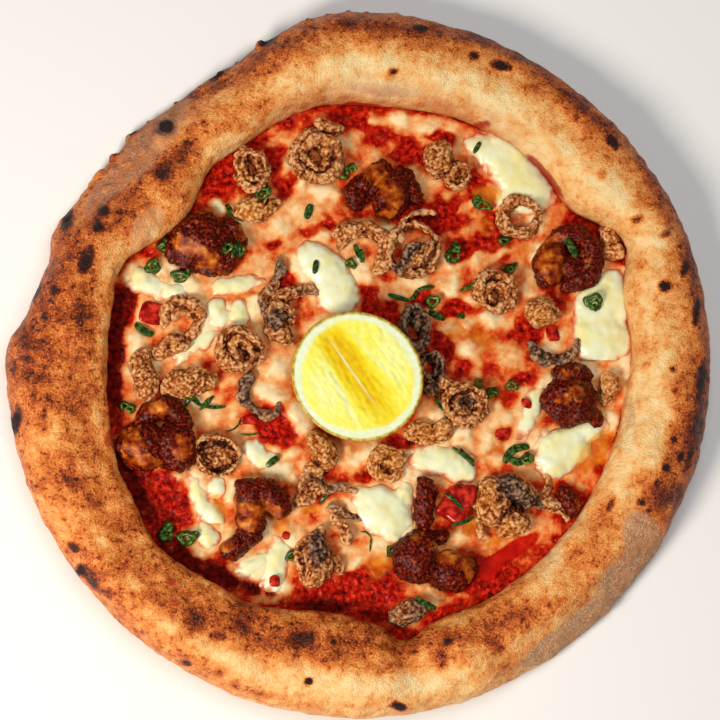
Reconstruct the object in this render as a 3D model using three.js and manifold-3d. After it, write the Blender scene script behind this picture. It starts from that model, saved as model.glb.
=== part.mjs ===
// A baked seafood pizza: a raised, uneven rim of dough round a flat base, a bed of tomato sauce,
// melted mozzarella, curled prawns, fried squid, half a lemon and chopped spring onion.
// Millimetres, +Z up. The underside of the base is flat, and the middle of the pizza is at x = y = 0.

import * as THREE from "three";
import { mergeVertices } from "three/addons/utils/BufferGeometryUtils.js";
import Module from "manifold-3d";

const wasm = await Module();
wasm.setup();

// Driving dimensions.
const OUTER_RADIUS = 150; // the widest edge of the rim
const FOOT_RADIUS = 114; // where the rim meets the sauce
const RIM_HEIGHT = 24; // crest of the rim over the underside
const RIM_WAIST = 10; // height at which the rim is widest
const BASE_THICKNESS = 4; // dough under the sauce
const SAUCE_TOP = 7; // height of the sauce
const LEMON_FACE = 24; // height of the lemon's cut face
const LEMON_LENGTH = 57;
const LEMON_WIDTH = 54;
const GAP = 0.35; // clearance between neighbours
const TURNS = 72; // facets round the pizza
const FULL = 1.05; // makes up for the flats of a rounded topping with few sides

// Unevenness round the pizza. Each entry adds `add` millimetres at the angle `at`, in degrees from
// +X towards +Y, and fades out over `wide` degrees; the power 4 gives it a flat middle.
const OUTLINE = [
  { at: 133, wide: 29, add: -14, power: 4 },
  { at: 168, wide: 8, add: -8, power: 4 },
  { at: 20, wide: 30, add: 0.8, power: 2 },
  { at: 262, wide: 24, add: 0.8, power: 2 },
];
const FOOT = [
  { at: 5, wide: 12, add: 3, power: 2 },
  { at: 24.5, wide: 7, add: 11, power: 2 },
  { at: 38, wide: 6, add: -2, power: 2 },
  { at: 85, wide: 14, add: -3.5, power: 2 },
  { at: 120, wide: 16, add: -9, power: 2 },
  { at: 140, wide: 10, add: -14, power: 2 },
  { at: 150, wide: 8, add: -7, power: 2 },
  { at: 178, wide: 22, add: -7, power: 2 },
  { at: 222, wide: 8, add: 3, power: 2 },
  { at: 262, wide: 12, add: -7, power: 2 },
  { at: 279, wide: 4, add: 6, power: 2 },
];
const CREST = [
  { at: 95, wide: 14, add: 2.5, power: 2 },
  { at: 60, wide: 12, add: -1.5, power: 2 },
  { at: 30, wide: 14, add: 1.5, power: 2 },
  { at: 140, wide: 16, add: -2, power: 2 },
  { at: 172, wide: 12, add: 2, power: 2 },
  { at: 205, wide: 12, add: -1, power: 2 },
  { at: 232, wide: 16, add: 2.5, power: 2 },
  { at: 268, wide: 14, add: 1, power: 2 },
  { at: 280, wide: 5, add: -3, power: 2 },
  { at: 318, wide: 16, add: -1.5, power: 2 },
  { at: 350, wide: 12, add: 1, power: 2 },
];
const OVERHANG = [{ at: 213, wide: 62, add: 6, power: 4 }]; // the rim leans in over the sauce
const SLOPE = [
  { at: 134, wide: 26, add: 0.4, power: 4 }, // share by which the outer shoulder drops
  { at: 312, wide: 18, add: 0.5, power: 4 },
];

const radians = THREE.MathUtils.degToRad;
const { clamp, lerp } = THREE.MathUtils;

// ---------------------------------------------------------------- shapes

function unevenness(entries, angle) {
  let sum = 0;
  for (const { at, wide, add, power } of entries) {
    const away = THREE.MathUtils.euclideanModulo(angle - at + 180, 360) - 180;
    sum += add * Math.exp(-(Math.abs(away / wide) ** power));
  }
  return sum;
}

const outerRadius = (angle) => OUTER_RADIUS + unevenness(OUTLINE, angle);
const overhang = (angle) => unevenness(OVERHANG, angle);
const footRadius = (angle) => FOOT_RADIUS + unevenness(FOOT, angle) + overhang(angle);
const crestHeight = (angle) => RIM_HEIGHT + unevenness(CREST, angle);

// A geometry without normals or seams, and without the triangles that collapse on its axis.
function weld(geometry) {
  geometry.deleteAttribute("normal");
  geometry.deleteAttribute("uv");
  const merged = mergeVertices(geometry, 1e-3);
  const kept = [];
  for (let i = 0; i < merged.index.count; i += 3) {
    const corners = [0, 1, 2].map((k) => merged.index.getX(i + k));
    if (new Set(corners).size === 3) kept.push(...corners);
  }
  merged.setIndex(kept);
  return merged;
}

function solidOf(geometry) {
  const welded = weld(geometry);
  const vertProperties = new Float32Array(welded.attributes.position.array);
  const triVerts = new Uint32Array(welded.index.array);
  return new wasm.Manifold(new wasm.Mesh({ numProp: 3, vertProperties, triVerts }));
}

function geometryOf(solid) {
  const { vertProperties, triVerts } = solid.getMesh();
  const geometry = new THREE.BufferGeometry();
  geometry.setAttribute("position", new THREE.BufferAttribute(vertProperties, 3));
  geometry.setIndex(new THREE.BufferAttribute(triVerts, 1));
  return geometry;
}

// Moves every point of a geometry to change(point).
function reshape(geometry, change) {
  const position = geometry.attributes.position;
  const point = new THREE.Vector3();
  for (let i = 0; i < position.count; i += 1) {
    change(point.fromBufferAttribute(position, i));
    position.setXYZ(i, point.x, point.y, point.z);
  }
  return geometry;
}

function largestPart(solid) {
  const parts = solid.decompose();
  return parts.reduce((best, part) => (part.volume() > best.volume() ? part : best));
}

// ---------------------------------------------------------------- crust and sauce

// The section of the crust: its x runs from 0 at the axis to 1 at the foot of the rim and 2 at
// its outer edge, and its y is a height in millimetres on a rim of the mean height.
function crustSection() {
  const section = [new THREE.Vector2(0, 0), new THREE.Vector2(1.81, 0)];
  for (let turn = -60; turn <= 180; turn += 20) {
    const across = Math.cos(radians(turn));
    const up = Math.sin(radians(turn));
    const blunt = turn < 0 ? 0.5 : 0.85;
    const half = 0.5 * Math.sign(across) * Math.abs(across) ** blunt;
    const reach = up < 0 ? RIM_WAIST : RIM_HEIGHT - RIM_WAIST;
    section.push(new THREE.Vector2(1.5 + half, RIM_WAIST + reach * up));
  }
  section.push(new THREE.Vector2(1, BASE_THICKNESS), new THREE.Vector2(0, BASE_THICKNESS));
  return section;
}

function doughRelief(x, y) {
  const broad = Math.sin(0.11 * x + 1.3) * Math.cos(0.13 * y - 0.4);
  const fine = Math.sin(0.31 * x - 0.17 * y) * Math.sin(0.27 * y + 0.9);
  return 0.8 * broad + 0.5 * fine;
}

// The crust, or with `grow` a copy that stands that much further into the space of the toppings.
function crustSolid(grow) {
  const geometry = new THREE.LatheGeometry(crustSection(), TURNS);
  geometry.rotateX(Math.PI / 2);
  const waist = (RIM_WAIST - BASE_THICKNESS) / (RIM_HEIGHT - BASE_THICKNESS);
  reshape(geometry, (point) => {
    const code = Math.hypot(point.x, point.y);
    const angle = THREE.MathUtils.radToDeg(Math.atan2(point.y, point.x));
    const foot = footRadius(angle) - grow;
    const across = code - 1;
    const rise = clamp((point.z - BASE_THICKNESS) / (RIM_HEIGHT - BASE_THICKNESS), 0, 1);
    let radius = code <= 1 ? code * foot : foot + across * (outerRadius(angle) - foot);
    let height = point.z;
    if (across >= 0 && point.z > BASE_THICKNESS) {
      const inner = clamp(1 - 2 * across, 0, 1);
      const lean = inner * Math.sin(Math.PI * clamp((rise - waist) / (1 - waist), 0, 1));
      radius -= 1.35 * overhang(angle) * lean;
      const outerShare = clamp((across - 0.55) / 0.45, 0, 1);
      height = BASE_THICKNESS + rise * (crestHeight(angle) - BASE_THICKNESS);
      height *= 1 - unevenness(SLOPE, angle) * outerShare;
      const x = radius * Math.cos(radians(angle));
      const y = radius * Math.sin(radians(angle));
      height += doughRelief(x, y) * rise * rise + grow;
    } else if (point.z >= BASE_THICKNESS) {
      height += grow;
    }
    point.set(radius * Math.cos(radians(angle)), radius * Math.sin(radians(angle)), height);
  });
  return solidOf(geometry);
}

// A disc from the height `bottom` up to `top`, with a soft upper edge that stays `inside`
// millimetres from the foot of the rim.
function sauceSolid(bottom, top, inside) {
  const section = [
    new THREE.Vector2(0, bottom),
    new THREE.Vector2(1, bottom),
    new THREE.Vector2(1, top - 0.6),
    new THREE.Vector2(0.98, top),
    new THREE.Vector2(0, top),
  ];
  const geometry = new THREE.LatheGeometry(section, TURNS);
  geometry.rotateX(Math.PI / 2);
  reshape(geometry, (point) => {
    const share = Math.hypot(point.x, point.y);
    const angle = Math.atan2(point.y, point.x);
    const radius = share * (footRadius(THREE.MathUtils.radToDeg(angle)) - inside);
    point.x = radius * Math.cos(angle);
    point.y = radius * Math.sin(angle);
  });
  return solidOf(geometry);
}

// ---------------------------------------------------------------- toppings

// Each maker below returns a function of `grow` that gives the solid, or with a `grow` over 0 a
// copy that is larger all round, which cuts the neighbours that would cross it.

// Bends a topping's surface a little, so that no two have quite the same outline.
function crumple(geometry, amount) {
  return reshape(geometry, (point) => {
    const { x, y, z } = point;
    point.x += amount * Math.sin(0.41 * y + 0.37 * z + 1.7);
    point.y += amount * Math.sin(0.38 * z + 0.43 * x + 0.6);
    point.z += 0.6 * amount * Math.sin(0.45 * x - 0.39 * y);
  });
}

// An uneven lump, sunk a third of its height into the sauce.
function lump(x, y, length, width, height, turn) {
  return (grow) => {
    const geometry = new THREE.SphereGeometry(1, length > 15 ? 8 : 6, length > 15 ? 5 : 4);
    geometry.rotateX(Math.PI / 2);
    geometry.scale((FULL * length) / 2 + grow, (FULL * width) / 2 + grow, height * 0.68 + grow);
    geometry.rotateZ(radians(turn));
    geometry.translate(x, y, SAUCE_TOP + height * 0.32);
    return solidOf(crumple(geometry, 0.7));
  };
}

// An oval ring whose wall is `wall` wide.
function ring(x, y, length, width, wall, height, turn) {
  return (grow) => {
    const geometry = new THREE.TorusGeometry(1, 1, 5, length > 18 ? 10 : 8);
    const point = new THREE.Vector2();
    reshape(geometry, (corner) => {
      point.set(corner.x, corner.y);
      const out = point.length() - 1;
      point.normalize();
      const halfWall = (FULL * wall) / 2 + grow;
      corner.x = point.x * (length / 2 - wall / 2 + out * halfWall);
      corner.y = point.y * (width / 2 - wall / 2 + out * halfWall);
      corner.z *= height * 0.6 + grow;
    });
    geometry.rotateZ(radians(turn));
    geometry.translate(x, y, SAUCE_TOP + height * 0.4);
    return solidOf(crumple(geometry, 0.6));
  };
}

// A blunt-ended body along path(share), from `first` to `last` millimetres thick, whose back
// is ridged `ridges` times.
function body(path, length, first, last, ridges, lift) {
  return (grow) => {
    const steps = clamp(Math.round(length / 4), 4, 9);
    const geometry = new THREE.SphereGeometry(1, 5, steps);
    geometry.rotateX(Math.PI / 2);
    const ahead = new THREE.Vector2();
    reshape(geometry, (point) => {
      const share = (point.z + 1) / 2;
      const round = Math.hypot(point.x, point.y) ** 0.5 || 1;
      const ridge = 1 + 0.07 * Math.cos(2 * Math.PI * ridges * share);
      const thick = (FULL * ridge * lerp(first, last, share)) / 2 + grow;
      const side = (point.x / round) * thick;
      const up = (point.y / round) * thick;
      const here = path(share);
      ahead.copy(path(share + 0.01)).sub(path(share - 0.01)).normalize();
      const end = (point.z > 0.999) - (point.z < -0.999);
      point.x = here.x - ahead.y * side + ahead.x * end * grow;
      point.y = here.y + ahead.x * side + ahead.y * end * grow;
      point.z = SAUCE_TOP + 0.36 * lerp(first, last, share) + up + lift;
    });
    return solidOf(crumple(geometry, 0.5));
  };
}

// A body along part of a circle, from the angle `start` on through `sweep` degrees.
function arc(x, y, radius, start, sweep, first, last, lift = 0) {
  const path = (share) => {
    const angle = radians(start + sweep * share);
    return new THREE.Vector2(x + radius * Math.cos(angle), y + radius * Math.sin(angle));
  };
  const length = radius * radians(Math.abs(sweep));
  return body(path, length, first, last, length / 6, lift);
}

// A body from one point to another, bowed sideways by `bow`.
function arm(x1, y1, x2, y2, bow, first, last, lift = 0) {
  const length = Math.hypot(x2 - x1, y2 - y1);
  const path = (share) => {
    const aside = (bow * Math.sin(Math.PI * share)) / length;
    return new THREE.Vector2(
      lerp(x1, x2, share) - (y2 - y1) * aside,
      lerp(y1, y2, share) + (x2 - x1) * aside,
    );
  };
  return body(path, length, first, last, length / 6, lift);
}

// A piece of melted cheese: low and flat on top, with a soft edge and a wandering outline.
function slab(x, y, length, width, turn) {
  const height = 2.5 + 0.1 * width;
  return (grow) => {
    const geometry = new THREE.SphereGeometry(1, 11, 4);
    geometry.rotateX(Math.PI / 2);
    reshape(geometry, (point) => {
      const angle = Math.atan2(point.y, point.x);
      const wander = 1 + 0.09 * Math.sin(3 * angle + 0.4 * length) + 0.05 * Math.sin(5 * angle + width);
      const flat = Math.hypot(point.x, point.y) ** -0.35;
      const spread = Number.isFinite(flat) ? flat * wander : 0;
      point.x *= spread * (length / 2) + Math.sign(spread) * grow;
      point.y *= spread * (width / 2) + Math.sign(spread) * grow;
      point.z *= height + grow;
    });
    geometry.rotateZ(radians(turn));
    geometry.translate(x, y, SAUCE_TOP);
    return solidOf(crumple(geometry, 0.4));
  };
}

// Half a lemon, cut face up, resting on the round of its skin.
function lemon(x, y, turn) {
  return (grow) => {
    const deep = LEMON_FACE - SAUCE_TOP - GAP;
    const section = [];
    for (let step = 0; step <= 5; step += 1) {
      const angle = radians(lerp(-90, -4, step / 5));
      const edge = Math.cos(angle) ** 0.8;
      section.push(new THREE.Vector2(step === 0 ? 0 : edge, LEMON_FACE + deep * Math.sin(angle)));
    }
    section.push(new THREE.Vector2(0.97, LEMON_FACE), new THREE.Vector2(0, LEMON_FACE));
    const geometry = new THREE.LatheGeometry(section, 24);
    geometry.rotateX(Math.PI / 2);
    geometry.scale(LEMON_LENGTH / 2 + grow, LEMON_WIDTH / 2 + grow, 1);
    reshape(geometry, (point) => {
      const depth = (LEMON_FACE - point.z) / deep;
      point.z += depth < 0.01 ? grow : -depth * grow;
    });
    geometry.rotateZ(radians(turn));
    geometry.translate(x, y, 0);
    return solidOf(geometry);
  };
}

// Spring onion: a slice cut across the stalk, and a chopped bit of leaf.
const ONION_HEIGHT = 2.4;

function hoop(x, y, across) {
  const make = (top) => {
    const geometry = new THREE.TorusGeometry(across / 2 - 1, 1, 3, 7);
    geometry.scale(1, 1, ONION_HEIGHT / 2);
    geometry.translate(x, y, top + 0.7);
    return solidOf(geometry);
  };
  return { x: x + across / 2 - 1, y, make };
}

function bit(x, y, length, turn) {
  const make = (top) => {
    const geometry = new THREE.SphereGeometry(1, 5, 4);
    geometry.rotateX(Math.PI / 2);
    geometry.scale(length / 2, 1.8, ONION_HEIGHT / 2 + 0.4);
    geometry.rotateZ(radians(turn));
    geometry.translate(x, y, top + 0.6);
    return solidOf(geometry);
  };
  return { x, y, make };
}

// ---------------------------------------------------------------- layout

const MOZZARELLA = [
  [slab(66.5, 83, 47.5, 20.5, -50)],
  [slab(103, 15.5, 39, 25.5, 95)],
  [slab(87, -36, 34, 22, 38)],
  [slab(72, -22, 29, 9.5, 62)],
  [slab(37.5, -45.5, 34, 18, -10)],
  [slab(11, -64.5, 29, 23, 80)],
  [slab(-14, 33, 34, 21, -52)],
  [slab(-86.5, 34.5, 27, 14.5, 5)],
  [slab(-61, 18.5, 14.5, 12, 80)],
  [slab(-51.5, 31.5, 18, 7.5, 5)],
  [slab(-72, 4, 23, 7.5, 40)],
  [slab(-66.5, -59.5, 24, 12, -65)],
  [slab(-64, -75.5, 12, 11, 0)],
  [slab(-46, -86.5, 17, 8.5, 45)],
  [slab(-36, -84.5, 21, 10, 72)],
  [slab(-46.5, -40.5, 13.5, 10, -50)],
];

const PRAWNS = [
  [lump(-68, 51, 28, 24, 11, -25), arc(-64, 50, 11.5, 60, -200, 7.5, 6)],
  [arm(-4.5, 65, 12, 84, 2.5, 11.5, 9), lump(12.5, 71.5, 22, 17, 11, 75), arm(14.5, 83, 24, 66.5, 2, 8, 7)],
  [arc(89.5, 44.5, 11.5, 130, -240, 7.5, 6), lump(81.5, 43, 22, 13, 10, 80)],
  [lump(89.5, -16.5, 24, 22, 12, 0), lump(90.5, -5, 17, 9.5, 9, 0), lump(98.5, -22.5, 11, 9.5, 6, -40)],
  [lump(-92.5, -37, 20.5, 20.5, 12, 0), lump(-78, -37, 20.5, 17, 11, 90), arc(-84, -30.5, 9.5, 160, -160, 7.5, 7)],
  [arm(-50, -51, -48.5, -78, 2.5, 11, 10), arm(-46, -52, -31, -66.5, 1.5, 11, 9), lump(-53.5, -79.5, 12, 10, 8, 20)],
  [lump(23.5, -83.5, 22, 20.5, 12, 80), lump(39, -89, 20.5, 18, 11, 10), arm(17.5, -78, 37, -75, 1.5, 7.5, 7)],
  [arm(27.5, -49, 25.5, -72, 1, 9.5, 7.5)],
  [arm(84.5, -54, 93, -64.5, 1, 7.5, 7)],
];

const CALAMARI = [
  [ring(-19, 88, 24.5, 24, 7, 9, 90), lump(-14.5, 100.5, 12, 7, 7, -10)],
  [ring(-47, 82, 20.5, 14.5, 6, 9, 100)],
  [lump(-45.5, 64, 18, 11, 7, 5)],
  [lump(33.5, 87, 17, 13, 9, 80), lump(41.5, 81, 14.5, 11, 7, 60)],
  [ring(69, 63, 20.5, 18, 4.5, 8, 20)],
  [arc(1, 47, 10, -70, 250, 7.5, 6), lump(-4.5, 56, 15.5, 7.5, 6, 10)],
  [ring(22.5, 48, 25.5, 24, 4, 9, 40), arm(15, 37, 30, 52.5, -1.5, 7, 6, 2), arc(27, 54.5, 10, 200, -140, 3, 2.5, 5)],
  [ring(58, 29.5, 21, 17, 7, 9, -50)],
  [lump(77.5, 22, 15.5, 12, 8, -30)],
  [lump(106.5, 55, 11, 7.5, 7, 100), lump(109, 48, 11, 7.5, 6, -35)],
  [arc(-24, 17.5, 13, 55, 125, 3.5, 7), lump(-35, 12.5, 14.5, 11, 8, -50), arc(-33, 24, 8.5, 100, 110, 5, 5)],
  [arc(-76, 17.5, 7.5, -80, 200, 7.5, 7), lump(-81, 5.5, 17, 8.5, 7, 20)],
  [lump(-92, -7, 22, 11, 8, 95)],
  [lump(-73.5, -10, 24, 13, 8, 8)],
  [ring(-51.5, 4, 22, 19.5, 8, 9, -40)],
  [arc(-41.5, -13, 8.5, 120, 170, 7, 3.5)],
  [ring(23, 15, 21, 12, 4.5, 8, 95)],
  [ring(29.5, -2, 17, 13, 5.5, 8, 110), lump(30, -10.5, 8.5, 7, 6, 0)],
  [ring(45, -18.5, 23, 18, 7, 9, -25), lump(36, -10.5, 10, 6, 6, -30)],
  [lump(27, -30.5, 17, 9.5, 6, -5), lump(34.5, -29.5, 11, 10, 7, 0)],
  [arc(83, 11.5, 10.5, 190, 165, 6, 5)],
  [ring(-61, -40.5, 20.5, 18, 3, 8, -15), lump(-61, -40.5, 14.5, 12, 4, -15)],
  [lump(-16.5, -38, 17, 12, 8, -60), lump(-19.5, -47, 8.5, 7, 6, 0)],
  [ring(11.5, -44, 17, 16, 6, 8, 0)],
  [lump(-19, -84.5, 25.5, 15.5, 9, 80), arm(-13, -66, -4.5, -78.5, 1.5, 5, 4, 1), arm(-16.5, -70, -7, -90.5, -2.5, 6, 5)],
  [lump(-21, -53, 13.5, 11, 7, 40), lump(-23.5, -58.5, 9.5, 7.5, 6, 0)],
  [
    lump(57, -59, 22, 17, 10, 80), lump(66, -55, 20.5, 12, 10, -30), lump(65, -68.5, 16, 12, 8, 20),
    arm(72.5, -57.5, 89, -67, 1.5, 6, 4), arm(76, -59, 80.5, -45.5, -1.5, 4, 3),
  ],
  [lump(20, -106.5, 16, 11, 8, 15)],
  [arm(-16.5, -55.5, -1.5, -55.5, 1.5, 5, 3.5), arm(-13, -61, 0.5, -67, -1, 5, 3.5)],
  [lump(106.5, -10.5, 14.5, 8.5, 7, 90)],
  [arm(-34, 44, -38, 32, 1, 5, 4)],
];

const TOMATO = [[lump(41, -60, 17, 13.5, 7, 40)]];
const LEMON = [[lemon(-1.5, -6.5, -35)]];

const SPRING_ONION = [
  hoop(-89, 39.5, 8.5), hoop(-78, 35.5, 8.5), hoop(-83.5, 49, 7), hoop(-55.5, 49, 7.5),
  hoop(-43, 72.5, 7.5), hoop(-6, 80, 7), hoop(-98, -19.5, 7), hoop(-78, -75, 8.5),
  hoop(-30, -83, 6), hoop(11.5, -80.5, 6), hoop(38.5, 47, 7.5), hoop(100, 27, 7.5),
  hoop(30, 27, 7.5), hoop(64, -9.5, 6),
  bit(-22, 64, 7, 90), bit(-1.5, 47, 8.5, -60), bit(-19.5, 40, 7.5, 80), bit(-92.5, 13, 7.5, -35),
  bit(-67, -18, 12, -15), bit(-38, -43, 7, 35), bit(44, -41, 10, -55), bit(66.5, -38.5, 13.5, 15),
  bit(61, 53.5, 6, -10), bit(89.5, 49.5, 9.5, -65), bit(62.5, 42, 7, 20), bit(17.5, 27, 13.5, 15),
  bit(32.5, 20.5, 7, -20), bit(51.5, -8, 5, 80), bit(33.5, -16.5, 8.5, -65), bit(27, -103, 10, -20),
  bit(42, -67, 10, 25), bit(63.5, 90, 6, 70), bit(49.5, 31, 7.5, 10), bit(-56.5, 64, 5, 85),
];

// ---------------------------------------------------------------- assembly

const LOOKS = {
  crust: { color: 0xc98a4b, roughness: 0.85 },
  tomato_sauce: { color: 0xa8180f, roughness: 0.35 },
  mozzarella: { color: 0xf0e6c4, roughness: 0.4 },
  lemon_half: { color: 0xf2d53c, roughness: 0.4 },
  prawn: { color: 0x7a2610, roughness: 0.3 },
  calamari: { color: 0xa9794f, roughness: 0.8 },
  tomato_piece: { color: 0x8c1410, roughness: 0.3 },
};

const overlaps = (a, b) => {
  const one = a.boundingBox();
  const two = b.boundingBox();
  return [0, 1, 2].every((k) => one.min[k] < two.max[k] && two.min[k] < one.max[k]);
};

const pieces = [
  { name: "crust", look: "crust", solid: crustSolid(0), grown: crustSolid(GAP) },
  {
    name: "tomato_sauce",
    look: "tomato_sauce",
    solid: sauceSolid(BASE_THICKNESS + GAP, SAUCE_TOP, 0.4),
    grown: sauceSolid(-10, SAUCE_TOP + GAP, 0),
  },
];

// Puts a topping down: its shapes are joined, and what would cross an earlier piece is cut away.
function putDown(name, look, shapes) {
  let solid = shapes.map((shape) => shape(0)).reduce((all, one) => all.add(one));
  const grown = shapes.map((shape) => shape(GAP)).reduce((all, one) => all.add(one));
  for (const piece of pieces) {
    if (overlaps(solid, piece.grown)) solid = solid.subtract(piece.grown);
  }
  pieces.push({ name, look, solid: largestPart(solid), grown });
}

function putDownAll(kind, layout) {
  layout.forEach((shapes, index) => {
    putDown(layout.length > 1 ? `${kind}_${index + 1}` : kind, kind, shapes);
  });
}

// The height of a piece over the point (x, y), or nothing where it isn't there.
function heightAt(piece, x, y) {
  const needle = new THREE.BoxGeometry(0.6, 0.6, 100);
  needle.translate(x, y, 0);
  const met = piece.solid.intersect(solidOf(needle));
  return met.isEmpty() ? -Infinity : met.boundingBox().max[2];
}

// Fuses a bit of spring onion to what it lies on, clear of every other piece.
function scatter({ x, y, make }) {
  const heights = pieces.map((piece) => heightAt(piece, x, y));
  const top = Math.max(...heights);
  const host = pieces[heights.indexOf(top)];
  let onion = make(top);
  for (const piece of pieces) {
    if (piece !== host && overlaps(onion, piece.grown)) onion = onion.subtract(piece.grown);
  }
  if (onion.isEmpty()) return;
  const joined = host.solid.add(largestPart(onion));
  if (joined.decompose().length === 1) host.solid = joined;
}

putDownAll("mozzarella", MOZZARELLA);
putDownAll("lemon_half", LEMON);
putDownAll("prawn", PRAWNS);
putDownAll("calamari", CALAMARI);
putDownAll("tomato_piece", TOMATO);
SPRING_ONION.forEach(scatter);

const pizza = new THREE.Group();
for (const { name, look, solid } of pieces) {
  const mesh = new THREE.Mesh(geometryOf(solid), new THREE.MeshStandardMaterial(LOOKS[look]));
  mesh.name = name;
  pizza.add(mesh);
}

// The middle of the pizza's box goes to x = y = 0, with its underside at z = 0.
const box = new THREE.Box3().setFromObject(pizza);
const middle = box.getCenter(new THREE.Vector3());
pizza.position.set(-middle.x, -middle.y, -box.min.z);

export default pizza;
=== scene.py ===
"""A baked seafood pizza on a plain pale floor: browned dough, tomato sauce under a film of melted
cheese, mozzarella, glazed prawns, fried squid, cooked tomato, half a lemon and spring onion.

Shapes are worked out in millimetres, and each finished mesh is turned to metres. The layout is the
one of the part's own solids, in the same frame."""

import math

import bmesh
import bpy
import numpy as np
from mathutils import Matrix, Vector, noise
from mathutils.bvhtree import BVHTree


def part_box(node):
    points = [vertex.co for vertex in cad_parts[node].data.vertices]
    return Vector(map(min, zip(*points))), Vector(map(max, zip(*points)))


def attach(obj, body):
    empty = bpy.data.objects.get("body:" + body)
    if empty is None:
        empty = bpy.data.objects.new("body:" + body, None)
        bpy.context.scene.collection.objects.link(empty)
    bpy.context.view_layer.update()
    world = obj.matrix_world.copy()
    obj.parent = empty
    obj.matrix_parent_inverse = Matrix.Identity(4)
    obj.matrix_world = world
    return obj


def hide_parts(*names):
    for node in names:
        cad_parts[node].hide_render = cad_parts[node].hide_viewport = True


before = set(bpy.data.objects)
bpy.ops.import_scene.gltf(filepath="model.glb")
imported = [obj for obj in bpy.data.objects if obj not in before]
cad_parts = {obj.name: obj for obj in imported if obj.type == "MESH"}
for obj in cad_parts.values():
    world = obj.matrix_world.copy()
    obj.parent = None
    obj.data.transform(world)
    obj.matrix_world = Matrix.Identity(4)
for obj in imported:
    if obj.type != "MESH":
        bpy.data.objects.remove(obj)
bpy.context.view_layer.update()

# Driving dimensions, in millimetres.
OUTER_RADIUS = 150
FOOT_RADIUS = 114
RIM_HEIGHT = 24
RIM_WAIST = 10
BASE_THICKNESS = 4
SAUCE_TOP = 7
LEMON_FACE = 24
LEMON_LENGTH = 57
LEMON_WIDTH = 54
LEMON_AT = Vector((-1.5, -6.5))
LEMON_TURN = -35
LEMON_LEAN = (-1.3, -1.4)  # how far the cut face leans from over the foot
SUNK = 0.9  # how far a topping reaches into the sauce

# How finely the shapes are divided, in millimetres.
SAUCE_CELL = 0.8
CHEESE_CELL = 0.6
PRAWN_CELL = 0.5
SQUID_CELL = 0.45
TOMATO_CELL = 0.5
TOUCHING = 1e-4  # vertices nearer than this become one

VIEW_DISTANCE = 1400
VIEW_TILT = 8  # degrees off the vertical
VIEW_SIDE = 225  # the side that the camera leans to, in degrees from +X
VIEW_HEIGHT = 10  # height of the plane that the marks below were placed on
VIEW_WIDTH = 306  # what the picture takes in, on that plane
VIEW_CENTRE = Vector((-0.4, 0.4))
SENSOR_WIDTH = 36
FLOOR_REACH = 3  # from the pizza to the floor's edge, in metres

# The solids are shifted so that their box is centred, and the lemon shows by how much.
lemon_low, lemon_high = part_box("lemon_half")
SHIFT = Vector(((lemon_low + lemon_high) * 500).xy) - LEMON_AT

# Unevenness round the pizza: the degrees from +X, the degrees it fades out over, the millimetres
# added, and how suddenly it fades: 2 is gentle and 4 is sudden. OUTLINE moves the rim's outer
# edge, FOOT its inner foot and CREST its top. OVERHANG leans its inner side over the sauce, and
# SLOPE lowers its outer side by a share.
OUTLINE = [(133, 29, -14, 4), (168, 8, -8, 4), (20, 30, 0.8, 2), (262, 24, 0.8, 2)]
FOOT = [
    (5, 12, 3, 2), (24.5, 7, 11, 2), (38, 6, -2, 2), (85, 14, -3.5, 2), (120, 16, -9, 2),
    (140, 10, -14, 2), (150, 8, -7, 2), (178, 22, -7, 2), (222, 8, 3, 2), (262, 12, -7, 2),
    (279, 4, 6, 2),
]
CREST = [
    (95, 14, 2.5, 2), (60, 12, -1.5, 2), (30, 14, 1.5, 2), (140, 16, -2, 2), (172, 12, 2, 2),
    (205, 12, -1, 2), (232, 16, 2.5, 2), (268, 14, 1, 2), (280, 5, -3, 2), (318, 16, -1.5, 2),
    (350, 12, 1, 2),
]
OVERHANG = [(213, 62, 6, 4)]
SLOPE = [(134, 26, 0.4, 4), (312, 18, 0.5, 4)]

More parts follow.
